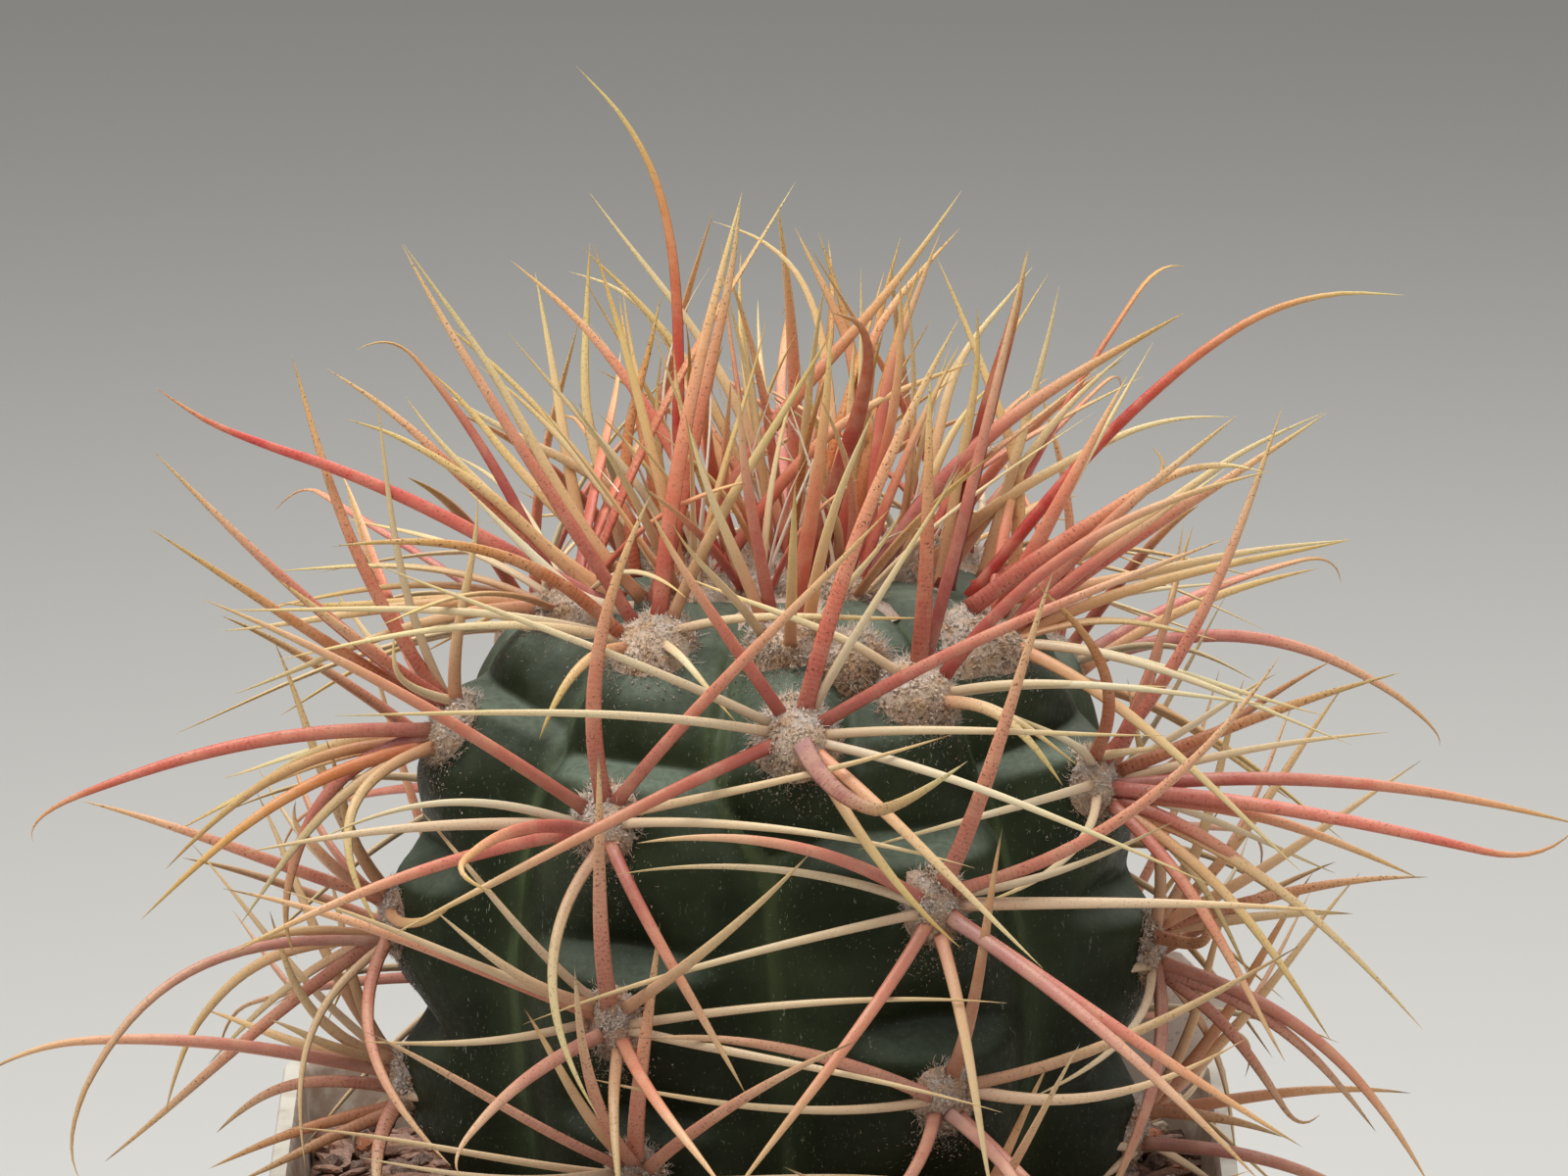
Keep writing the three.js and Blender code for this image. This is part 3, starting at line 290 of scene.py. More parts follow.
# %% Smooth crest line
def smooth_line(points, steps):
    """A smooth curve through points, as a Catmull-Rom spline."""
    points = np.asarray(points, float)
    last = len(points) - 1
    travel = np.linspace(0, last, steps)
    at = np.minimum(travel.astype(int), last - 1)
    t = (travel - at)[:, None]
    before, start = points[np.maximum(at - 1, 0)], points[at]
    end, after = points[at + 1], points[np.minimum(at + 2, last)]
    leave, arrive = (end - before) / 2, (after - start) / 2
    cubic = 2 * start - 2 * end + leave + arrive
    square = -3 * start + 3 * end - 2 * leave - arrive
    return cubic * t**3 + square * t**2 + leave * t + start


crest = smooth_line(CREST_LINE, 4001)
crest_way = np.concatenate([[0.0], np.cumsum(np.linalg.norm(np.diff(crest, axis=0), axis=1))])
crest_tangent = np.gradient(crest, axis=0)
crest_tangent /= np.linalg.norm(crest_tangent, axis=1)[:, None]
CREST_LENGTH = crest_way[-1]


def crest_at(way):
    """Radius, height and outward normal of the crest line, a given way down from the apex."""
    return (
        np.interp(way, crest_way, crest[:, 0]),
        np.interp(way, crest_way, crest[:, 1]),
        -np.interp(way, crest_way, crest_tangent[:, 1]),
        np.interp(way, crest_way, crest_tangent[:, 0]),
    )


print("crest line", round(CREST_LENGTH, 1), "mm from apex to soil")

# %% [markdown]
# ## Valleys, chins and young ribs
#
# Three rules shape the skin. Beside a rib it falls back into the valley, with a narrow groove at
# the bottom. Between two areoles of a rib it falls back from the crest, steeply below the upper
# one and softly towards the lower one, which leaves a chin. Near the apex a young rib rises in
# the middle of a valley. Of all ribs, the one that stands out most wins at each point.

# %% Fall of the skin beside and between the areoles
def wrap(degrees):
    return (np.asarray(degrees, float) + 180.0) % 360.0 - 180.0


def rib_axis(rib, way):
    azimuths, ways = zip(*reversed(rib))
    return np.interp(way, ways, azimuths)


def chin(rib, way):
    """How far a rib's crest falls back between two of its areoles."""
    ways = np.array([at for _, at in reversed(rib)], float)
    above = np.searchsorted(ways, way, side="left") - 1
    upper = ways[np.maximum(above, 0)]
    below = np.minimum(above + 1, len(ways) - 1)
    lower = np.where(above + 1 < len(ways), ways[below], upper + AREOLE_PITCH)
    share = (lower - way) / np.maximum(lower - upper, 0.001)
    depth = CHIN_DEPTH * np.minimum(1.0, (lower - upper) / AREOLE_PITCH) * smoothstep(way, 20, 60)
    face = smoothstep(share, FACE_SHARE * 0.8, NOTCH_SHARE)
    slope = np.clip((1 - FACE_SHARE - share) / (1 - FACE_SHARE - NOTCH_SHARE), 0, 1) ** 1.5
    return np.where(above >= 0, depth * np.where(share < NOTCH_SHARE, face, slope), 0.0)


def round_bottom(aside):
    """Rounds the crease at 1 off, so that a valley ends in a narrow groove."""
    over = np.clip(aside - (1 - GROOVE_SHARE), 0, GROOVE_SHARE)
    return aside - over**2 / (2 * GROOVE_SHARE)


def fall_back(azimuth, way):
    """How far the skin lies below the crest line, and how near the point is to a valley."""
    radius = crest_at(way)[0]
    valley = VALLEY_DEPTH * smoothstep(radius, 14, 48)
    ribs = list(RIBS.values())
    least = np.full(np.shape(azimuth), np.inf)
    nearness = np.zeros(np.shape(azimuth))
    for number, rib in enumerate(ribs):
        axis = rib_axis(rib, way)
        offset = wrap(azimuth - axis)
        after = rib_axis(ribs[(number + 1) % len(ribs)], way)
        before = rib_axis(ribs[number - 1], way)
        spacing = np.abs(wrap(np.where(offset > 0, after, before) - axis))
        half = spacing / 2
        depth = valley.copy()
        for young in YOUNG_RIBS.values():
            apart = wrap(young[0][0] - axis) * np.sign(offset)
            grown = 1 - smoothstep(way, young[0][1] + 2, young[0][1] + YOUNG_FADE)
            grown = np.where((apart > 0) & (apart < spacing), grown, 0.0)
            half = half * (1 - YOUNG_NARROWING * grown)
            depth = depth * (1 - (1 - YOUNG_VALLEY) * grown)
        arc = np.abs(np.radians(offset)) * radius
        aside = round_bottom(np.abs(offset) / half)
        back = depth * aside**BACK_POWER + chin(rib, way) * np.exp(-((arc / CHIN_SPREAD) ** 2))
        nearness = np.where(back < least, aside, nearness)
        least = np.minimum(least, back)
    for young in YOUNG_RIBS.values():
        offset = wrap(azimuth - young[0][0])
        aside = np.abs(offset) / YOUNG_HALF_WIDTH
        gone = smoothstep(way, young[0][1] + 4, young[0][1] + YOUNG_FADE)
        ridge = valley * YOUNG_VALLEY * round_bottom(aside) ** BACK_POWER + gone * VALLEY_DEPTH * 1.5
        nearness = np.where(ridge < least, aside, nearness)
        least = np.minimum(least, ridge)
    return least, nearness


def skin_points(azimuth, way):
    """Points of the skin, from the barrel's axis and the soil's level, and their nearness to a valley."""
    radius, height, normal_r, normal_z = crest_at(way)
    back, nearness = fall_back(azimuth, way)
    out = np.maximum(0.5, radius - normal_r * back)
    angle = np.radians(azimuth)
    points = np.stack([out * np.sin(angle), -out * np.cos(angle), height - normal_z * back], axis=-1)
    return points, nearness


print(len(RIBS), "ribs and", len(YOUNG_RIBS), "young ones")

# %% [markdown]
# ## Making a mesh from arrays
#
# All pieces below come as arrays of points and faces. This helper turns them into a Blender
# object in metres, lets it ride on the frame's one body, and keeps extra values on its points,
# such as a tint, for the materials to read.


# %% Piece helper
def make_piece(name, points, faces, materials, looks=None, smooth=True, **values):
    mesh = bpy.data.meshes.new(name)
    places = (np.asarray(points) + SOIL_ZERO) * MM
    mesh.from_pydata(places.tolist(), [], [tuple(face) for face in faces])
    for material in materials:
        mesh.materials.append(material)
    if looks is not None:
        mesh.polygons.foreach_set("material_index", np.asarray(looks, np.int32))
    mesh.polygons.foreach_set("use_smooth", np.full(len(mesh.polygons), smooth))
    for key, value in values.items():
        value = np.asarray(value, np.float32)
        kind = {1: "FLOAT", 3: "FLOAT_VECTOR", 4: "FLOAT_COLOR"}[value.shape[1] if value.ndim > 1 else 1]
        field = {"FLOAT": "value", "FLOAT_VECTOR": "vector", "FLOAT_COLOR": "color"}[kind]
        mesh.attributes.new(key, kind, "POINT").data.foreach_set(field, value.ravel())
    mesh.update()
    piece = bpy.data.objects.new(name, mesh)
    bpy.context.scene.collection.objects.link(piece)
    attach(piece, "root")
    return piece


def ring_faces(rings, count, first=0):
    """Four-sided faces between closed rings of `count` points that follow each other."""
    ring, column = np.meshgrid(np.arange(rings - 1), np.arange(count), indexing="ij")
    a = first + ring * count + column
    b = first + ring * count + (column + 1) % count
    return np.stack([a, b, b + count, a + count], axis=-1).reshape(-1, 4).tolist()


def ripple(points, scale_mm, seed):
    """A soft random value from about -1 to 1 for each point, with features of a given size."""
    shift = Vector((seed * 17.3, seed * 5.1, seed * 11.7))
    return np.array([noise.noise(Vector(point) / scale_mm + shift) for point in points])


print("a ring of 8 points and the next one are joined by", len(ring_faces(2, 8)), "faces")


# %% [markdown]
# ## The barrel
#
# The mesh has sixty lines of points between each two ribs, so that a line always runs along the
# crease of the valley and keeps it sharp. A soft ripple breaks the evenness of the formula, as no
# grown skin is quite regular.

# %% Barrel mesh
COLUMNS_A_RIB = 60
ROW_PITCH = 0.8

# Soft ripples of the skin, as depth and width in mm and a seed
RIPPLES = [(0.35, 9.0, 1), (0.12, 3.0, 2)]
FOOT_HEIGHT = -12.0

shares = np.arange(COLUMNS_A_RIB) / COLUMNS_A_RIB
ways = np.arange(4.0, CREST_LENGTH - 1.0, ROW_PITCH)[::-1]
rows = []
for way in ways:
    axes = np.array([rib_axis(rib, way) for rib in RIBS.values()])
    gaps = wrap(np.roll(axes, -1) - axes)
    rows.append((axes[:, None] + gaps[:, None] * shares).ravel())
azimuths = np.array(rows)
barrel_points, barrel_valley = skin_points(azimuths, np.repeat(ways[:, None], azimuths.shape[1], axis=1))
columns = azimuths.shape[1]
flat_points = barrel_points.reshape(-1, 3)
outwards = flat_points * np.array([1.0, 1.0, 0.35])
outwards /= np.linalg.norm(outwards, axis=1)[:, None]
swell = sum(depth * ripple(flat_points, width, seed) for depth, width, seed in RIPPLES)
flat_points = flat_points + outwards * swell[:, None]
foot_ring = flat_points[:columns] * np.array([0.86, 0.86, 0.0]) + np.array([0.0, 0.0, FOOT_HEIGHT])
points = np.vstack([foot_ring, flat_points, [[0, 0, FOOT_HEIGHT]], [[0, 0, 101.0]]])
faces = ring_faces(len(ways) + 1, columns)
foot, apex = len(points) - 2, len(points) - 1
top_ring = len(ways) * columns
for column in range(columns):
    beside = (column + 1) % columns
    faces.append((beside, column, foot))
    faces.append((top_ring + column, top_ring + beside, apex))
nearness = np.concatenate([barrel_valley[0], barrel_valley.ravel(), [0.0, 0.0]])
print("barrel", len(points), "points,", len(faces), "faces")

# %% [markdown]
# ## Skin
#
# The skin is a dark blue-green with a thin bloom of wax and a painted highlight that lightens the
# faces turned up, as the light from above would. It has a lighter yellow-green line in the crease of
# each valley, and white scurf: small flecks that weather has dragged into upright streaks. Lower
# down, painted shade darkens the skin, and the wax and its painted highlight fade. Each is one layer
# over the last, mixed in by a noise.

# %% Skin material
skin, tree, shader = new_material("cactus_skin")
place = place_in_mm(tree)
upright = place_in_mm(tree, (1.0, 1.0, 0.32))
fine = noise_over(tree, place, 0.9, 4.0)
green = wander(tree, place, (0.06, 3.0), 0.35, 0.68, srgb(31, 38, 20), srgb(52, 61, 40))
normal = tree.nodes.new("ShaderNodeNewGeometry").outputs["Normal"]
facing_up = add(tree, "ShaderNodeSeparateXYZ", {0: normal}).outputs["Z"]
# Wax bloom plus a painted highlight on faces turned up, weaker lower down
wax_and_painted_top_light = calculate(tree, "MULTIPLY", between(tree, facing_up, 0.2, 0.98), between(tree, fine, 0.2, 0.75, 0.55, 1.0))
low = add(tree, "ShaderNodeSeparateXYZ", {0: place}).outputs["Z"]
wax_and_painted_top_light = calculate(tree, "MULTIPLY", wax_and_painted_top_light, between(tree, low, 150.0, 198.0, 0.5, 0.95))
green = blend_colours(tree, wax_and_painted_top_light, green, srgb(114, 127, 112))
# Painted shade: the skin turns darker towards the soil, where the lower barrel gets less light
painted_low_shade = between(tree, low, 184.0, 128.0, 0.0, 0.64)
green = blend_colours(tree, painted_low_shade, green, srgb(18, 17, 2))
crease = tree.nodes.new("ShaderNodeAttribute")
crease.attribute_name = "valley"
glow = calculate(tree, "MULTIPLY", between(tree, crease.outputs["Fac"], 0.76, 0.93), 0.3)
green = blend_colours(tree, glow, green, srgb(62, 74, 46))
line = between(tree, crease.outputs["Fac"], 0.912, 0.929)
line = calculate(tree, "MULTIPLY", line, between(tree, noise_over(tree, upright, 0.12), 0.42, 0.68))
green = blend_colours(tree, calculate(tree, "MULTIPLY", line, 0.6), green, srgb(82, 94, 60))
patches = between(tree, noise_over(tree, upright, 0.11, 2.0), 0.42, 0.66)
flecks = between(tree, noise_over(tree, upright, 1.9, 2.5, 0.8), 0.625, 0.69)
flecks = calculate(tree, "MULTIPLY", flecks, between(tree, patches, 0.0, 1.0, 0.1, 0.9))
green = blend_colours(tree, flecks, green, srgb(138, 144, 124))
dots = add(tree, "ShaderNodeTexVoronoi", {"Vector": place, "Scale": 0.95}).outputs["Distance"]
dots = calculate(tree, "MULTIPLY", between(tree, dots, 0.16, 0.08), 0.15)
green = blend_colours(tree, dots, green, srgb(150, 165, 150))
tree.links.new(green, shader.inputs["Base Color"])
tree.links.new(between(tree, fine, 0.3, 0.7, 0.42, 0.6), shader.inputs["Roughness"])
shader.inputs["Specular IOR Level"].default_value = 0.14
grain = relief(tree, fine, 0.12)
tree.links.new(relief(tree, flecks, 0.08, grain), shader.inputs["Normal"])

barrel = make_piece("barrel_skin", points, faces, [skin], valley=nearness)
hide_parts("barrel")
print("barrel_skin", len(barrel.data.polygons), "faces")

# %% [markdown]
# ## Areoles
#
# An areole is the felt cushion from which a bunch of spines grows. It gets a place on the skin
# and three axes: to its right, up along the rib, and straight out. Areoles count from the lowest
# one that stands clear of the soil, which gives them the names of their CAD nodes.

# %% Places of the areoles
LOWEST_AREOLE = 8.0
CROWN_RADIUS = 24.0
YOUNG_WAY = 50.0
FELT_SIZE = (5.6, 6.3, 2.2)
YOUNG_FELT_SIZE = (6.8, 7.0, 3.0)


def areole_at(name, azimuth, way):
    radius, height, normal_r, normal_z = crest_at(way)
    angle = math.radians(azimuth)
    outward = np.array([math.sin(angle), -math.cos(angle), 0.0])
    out = unit(outward * normal_r + np.array([0.0, 0.0, normal_z]))
    right = np.array([math.cos(angle), math.sin(angle), 0.0])
    at = outward * radius + np.array([0.0, 0.0, height])
    size = YOUNG_FELT_SIZE if way < YOUNG_WAY else FELT_SIZE
    axes = np.array([right, np.cross(out, right), out])
    return {"name": name, "azimuth": azimuth, "way": way, "at": at, "axes": axes, "felt": size}


areoles = []
for rib_name, rib in {**RIBS, **YOUNG_RIBS}.items():
    number = 1
    for azimuth, way in rib:
        if crest_at(way)[1] > LOWEST_AREOLE and way > CROWN_RADIUS + 6:
            areoles.append(areole_at(f"{rib_name}_{number}", azimuth, way))
            number += 1
print(len(areoles), "areoles")

# %% [markdown]
# ## Felt
#
# The felt is a mound of short matted hairs, cream when young and grey with dirt when old. Hair
# curves would look right, but a model that travels needs real faces. So a lumpy mound gives the
# mass, small ragged tufts cover it, and over a thousand loose fibres, each a three-sided thread,
# give the fuzz.


# %% Ground and mound of the felt
BRIDGED = 0.85
DOME_POWER = 0.6
MOUND_RINGS = 9
MOUND_AROUND = 30
MOUND_BAYS = 11
# Painted shade of the mound, which shows only in the gaps between the tufts
MOUND_SHADE = 0.75


def on_disc(at, axes):
    """A flat ground for felt: points at a distance across and up from its middle."""
    return lambda across, up: at + across[:, None] * axes[0] + up[:, None] * axes[1]


def on_skin(areole, size):
    """The barrel's skin as ground for felt, which bridges the fall of the rib in its middle."""
    at, axes = areole["at"], areole["axes"]
    radius = crest_at(areole["way"])[0]

    def ground(across, up):
        skin, _ = skin_points(areole["azimuth"] + np.degrees(across / radius), areole["way"] - up)
        level = at + across[:, None] * axes[0] + up[:, None] * axes[1]
        bridged = BRIDGED * np.clip(1 - (across / size[0]) ** 2 - (up / size[1]) ** 2, 0, 1)
        return skin + (level - skin) * bridged[:, None]

    return ground


def cushion_rise(share):
    """Height of a cushion, as a share of its middle's, at a share of the way out to its edge."""
    return np.maximum(0, 1 - share**2) ** DOME_POWER


def mound(ground, out, size, rng, rough=0.1):
    """An oval cushion with an uneven edge, darkened with painted shade as the shaded ground between tufts of wool."""
    rings, around = MOUND_RINGS, MOUND_AROUND
    angle = np.arange(around) / around * 2 * np.pi
    bays = rng.normal(0, 1, MOUND_BAYS)
    edge = 1 + rough * np.interp(angle, np.linspace(0, 2 * np.pi, MOUND_BAYS + 1), [*bays, bays[0]])
    points = []
    for ring in range(rings):
        share = 1 - ring / rings
        base = ground(size[0] * share * edge * np.cos(angle), size[1] * share * edge * np.sin(angle))
        height = size[2] * cushion_rise(share) - 0.5 * share**8
        points.append(base + height * out)
    points.append(ground(np.zeros(1), np.zeros(1)) + size[2] * out)
    faces = ring_faces(rings, around)
    last = (rings - 1) * around
    faces += [(last + i, last + (i + 1) % around, rings * around) for i in range(around)]
    return np.vstack(points), faces, np.full(rings * around + 1, MOUND_SHADE)


print("a felt mound has", MOUND_RINGS * MOUND_AROUND + 1, "points")


# %% [markdown]
# ## Tufts of wool
#
# Matted wool looks lumpy at arm's length and ragged from near by. A sculpted bump would stay
# smooth, so many small bodies with eight faces each are strewn over the mound and turned at
# random. Most are light and some are dark with dirt, and each gets a painted shade at its foot.

# %% Tufts of wool
def tufts(ground, axes, size, rng, count, girth=0.46):
    """Woolly lumps that cover a cushion, each a ragged little body with eight faces."""
    angle = rng.uniform(0, 2 * np.pi, count)
    share = np.sqrt(rng.uniform(0, 1, count))
    height = size[2] * cushion_rise(share)
    middle = ground(size[0] * share * np.cos(angle), size[1] * share * np.sin(angle))
    middle = middle + height[:, None] * axes[2]
    turned = rng.normal(0, 1, (count, 3, 3))
    turned[:, 2] = axes[2] + 0.5 * turned[:, 2]
    turned /= np.linalg.norm(turned, axis=2)[..., None]
    reach = girth * rng.uniform(0.45, 1.25, (count, 6, 1))
    corners = middle[:, None, :] + np.concatenate([turned, -turned], axis=1) * reach
    pattern = [(0, 1, 2), (1, 3, 2), (3, 4, 2), (4, 0, 2), (1, 0, 5), (3, 1, 5), (4, 3, 5), (0, 4, 5)]
    faces = [tuple(6 * i + corner for corner in face) for i in range(count) for face in pattern]
    own = rng.uniform(0, 0.3, count) + 0.5 * (rng.uniform(0, 1, count) < 0.12)
    # Painted shade at the foot corner of each tuft; the few dark tufts are real dirt
    shade_and_dirt = np.clip(own[:, None] + np.array([0.15, 0.15, 0.0, 0.15, 0.15, 0.5]), 0, 1)
    return corners.reshape(-1, 3), faces, shade_and_dirt.ravel()


sample = tufts(on_disc(np.zeros(3), np.eye(3)), np.eye(3), FELT_SIZE, np.random.default_rng(0), 10)
print("ten tufts have", len(sample[1]), "faces")


# %% [markdown]
# ## Loose fibres and shed hairs
#
# Fine hairs stand out from the wool and lie on the skin below it, where they were shed. Each is
# a thread with three sides that ends in a point. Some have one bend, which keeps the fuzz from
# looking combed. Hairs near the edge of a cushion are longer and lie flatter.

# %% Fibres and shed hairs
def unit_rows(vectors):
    return vectors / np.linalg.norm(vectors, axis=1)[:, None]


def fibres(roots, ways, lengths, rng, bent, width=0.12, dark=0.15):
    """Thin three-sided hairs, straight or with one bend. Roots get painted shade, and some hairs are dark."""
    count = len(roots)
    ways = unit_rows(ways)
    aside = unit_rows(np.cross(ways, rng.normal(0, 1, (count, 3))))
    other = np.cross(ways, aside)
    lengths = lengths[:, None]
    corners = [aside, -0.5 * aside + 0.87 * other, -0.5 * aside - 0.87 * other]
    points = [roots + corner * width * 0.5 for corner in corners]
    if bent:
        middle = roots + ways * lengths * 0.55 + aside * lengths * 0.12
        tip = middle + unit_rows(ways + aside * rng.normal(0, 0.9, (count, 1)) + other * 0.6) * lengths * 0.5
        points += [middle + corner * width * 0.4 for corner in corners] + [tip]
        pattern = [(0, 1, 4, 3), (1, 2, 5, 4), (2, 0, 3, 5), (3, 4, 6), (4, 5, 6), (5, 3, 6)]
    else:
        points += [roots + ways * lengths]
        pattern = [(0, 1, 3), (1, 2, 3), (2, 0, 3)]
    stride = len(points)
    faces = [tuple(stride * i + corner for corner in face) for i in range(count) for face in pattern]
    own = np.where(rng.uniform(0, 1, count) < dark, 0.9, rng.uniform(0, 0.2, count))
    # Painted shade at the root of each hair
    along = np.array([0.4] * 3 + [0.0] * (stride - 3))
    shade_and_dirt = np.clip(own[:, None] + along, 0.0, 1.0)
    return np.stack(points, axis=1).reshape(-1, 3), faces, shade_and_dirt.ravel()


def fuzz(ground, axes, size, rng, count, longest, bent):
    """Hairs over a cushion, longer and flatter round its edge."""
    angle = rng.uniform(0, 2 * np.pi, count)
    share = np.sqrt(rng.uniform(0, 1, count)) * 1.04
    height = size[2] * cushion_rise(share) - 0.1
    roots = ground(size[0] * share * np.cos(angle), size[1] * share * np.sin(angle))
    roots = roots + height[:, None] * axes[2]
    reach = 0.3 + share
    lean = np.stack([np.cos(angle) * reach, np.sin(angle) * reach, 1.2 - 0.8 * share], axis=-1)
    lean += rng.normal(0, 0.6, lean.shape)
    lengths = rng.uniform(0.35, 1.0, count) * longest * (0.55 + 0.45 * share)
    return fibres(roots, lean @ axes, lengths, rng, bent)


def litter(azimuth, way, rng, count, longest, width, dark):
    """Hairs or crumbs shed by a cushion that lie on the skin below it."""
    down = way + 4.5 + np.abs(rng.normal(0, 3.4, count))
    spread = rng.normal(0, 1, count) * np.degrees(3.4 / crest_at(way)[0])
    roots, _ = skin_points(azimuth + spread, down)
    beyond, _ = skin_points(azimuth + spread + rng.normal(0, 2.0, count), down + rng.normal(0, 1.5, count))
    outwards = unit_rows(roots * np.array([1.0, 1.0, 0.2]))
    lengths = rng.uniform(0.35, 1.0, count) * longest
    return fibres(roots + outwards * 0.1, beyond - roots + outwards * 0.25, lengths, rng, False, width, dark)


sample = fibres(np.zeros((5, 3)), np.ones((5, 3)), np.ones(5), np.random.default_rng(0), True)
print("five bent hairs have", len(sample[1]), "faces")


# %% [markdown]
# ## Felt material
#
# The wool's colour wanders between cream and a dusty pinkish brown and gets dirtier with age.
# Three values on the points tell the material how old an areole is, how much painted shade and
# dirt a point gets, and how low it sits. Deep points between the tufts and the roots of hairs get a
# painted shade, and some hairs and crumbs are dark with dirt; together they give the peppered look
# of felt. New white wool comes out on top, and dirt gathers at the lower edge.

# %% Felt material
felt, tree, shader = new_material("areole_felt")
place = place_in_mm(tree)
wool_value = tree.nodes.new("ShaderNodeAttribute")
wool_value.attribute_name = "wool"
wool_parts = add(tree, "ShaderNodeSeparateXYZ", {0: wool_value.outputs["Vector"]})
age, shade = wool_parts.outputs["X"], wool_parts.outputs["Y"]
fresh = wander(tree, place, (0.35, 4.0), 0.4, 0.62, srgb(252, 234, 212), srgb(242, 208, 170))
dusty = wander(tree, place, (0.4, 4.0), 0.4, 0.62, srgb(252, 230, 208), srgb(242, 198, 160))
wool = blend_colours(tree, age, fresh, dusty)
low = wool_parts.outputs["Z"]
whitened = between(tree, noise_over(tree, place, 0.5), 0.42, 0.56)
clean = calculate(tree, "MULTIPLY", between(tree, low, 0.3, 0.0, 0.0, 0.7), whitened)
wool = blend_colours(tree, clean, wool, srgb(253, 246, 238))
matted = noise_over(tree, place, 3.4, 3.0, 0.7)
pepper = calculate(tree, "MULTIPLY", between(tree, matted, 0.52, 0.4), between(tree, age, 0.0, 1.0, 0.25, 0.45))
wool = blend_colours(tree, pepper, wool, srgb(136, 92, 62))
# Painted shade of deep points and hair roots, together with the real dirt of dark hairs and crumbs
shaded = calculate(tree, "MULTIPLY", shade, between(tree, age, 0.0, 1.0, 0.42, 0.5))
wool = blend_colours(tree, shaded, wool, srgb(128, 82, 56))
soiled = between(tree, noise_over(tree, place, 1.5, 4.0, 0.7), 0.54, 0.42)
dirt = calculate(tree, "MULTIPLY", between(tree, low, 0.15, 0.9, 0.0, 0.8), soiled)
wool = blend_colours(tree, dirt, wool, srgb(88, 58, 40))
tree.links.new(wool, shader.inputs["Base Color"])
shader.inputs["Roughness"].default_value = 0.95
shader.inputs["Specular IOR Level"].default_value = 0.1
shader.inputs["Sheen Weight"].default_value = 0.25
tree.links.new(relief(tree, matted, 0.3), shader.inputs["Normal"])
print("areole_felt has", len(tree.nodes), "nodes")

# %% [markdown]
# ## Spines
#
# A spine leaves its felt nearly straight out and then arches over to where it points. Its centre
# line is a curve with four handles, and a hooked one ends in a short second curve. Round that
# line goes an oval section, flattened and with a shallow groove on its outer side, which tapers
# late and to a fine tip.

# %% Centre lines of the spines
SPINE_RISE = 2.0
EXIT_LIFT = 4.0
HOOK_STARTS = 0.86
HOOK_STEPS = 7


def bezier(handles, travel):
    t = np.asarray(travel)[:, None]
    a, b, c, d = handles
    return a * (1 - t) ** 3 + 3 * b * t * (1 - t) ** 2 + 3 * c * t**2 * (1 - t) + d * t**3


def spine_line(root, exit_way, axes, tip, bow, hook, steps):
    """`tip` and `hook` are offsets along the axes; `bow` bulges to the left of the spine's way."""
    chord = np.asarray(tip) @ axes
    flat = math.hypot(tip[0], tip[1]) or 1.0
    bulge = np.array([-tip[1] / flat * bow, tip[0] / flat * bow, SPINE_RISE]) @ axes * 4 / 3
    handles = [root, root + chord / 3 + bulge + exit_way * EXIT_LIFT, root + chord * 2 / 3 + bulge, root + chord]
    if not any(hook):
        return bezier(handles, np.linspace(0, 1, steps))
    body = bezier(handles, np.linspace(0, HOOK_STARTS, steps - HOOK_STEPS + 1))
    end = root + chord
    tip_point = end + np.array([hook[0], hook[1], 0.0]) @ axes
    turn = np.linspace(0, 1, HOOK_STEPS + 1)[1:, None]
    return np.vstack([body, body[-1] * (1 - turn) ** 2 + 2 * end * turn * (1 - turn) + tip_point * turn**2])


def even_line(line, steps):
    """The same line with its points evenly spread."""
    travel = np.concatenate([[0.0], np.cumsum(np.linalg.norm(np.diff(line, axis=0), axis=1))])
    wanted = np.linspace(0, travel[-1], steps)
    return np.stack([np.interp(wanted, travel, line[:, axis]) for axis in range(3)], axis=-1)


trial = spine_line(np.zeros(3), np.array([0, 0, 1.0]), np.eye(3), (40.0, 0.0, 10.0), 2.0, (0, 0), 24)
print("a spine of 40 by 10 mm is", round(float(np.linalg.norm(np.diff(trial, axis=0), axis=1).sum()), 1), "mm long")


# %% [markdown]
# ## Kinds of spine
#
# Each areole has broad central spines, red ones, tan ones and thin ivory ones that spread over
# the skin. A kind gives the width at the root, how flat the spine is, how freckled it gets, and
# its colours from root to tip.

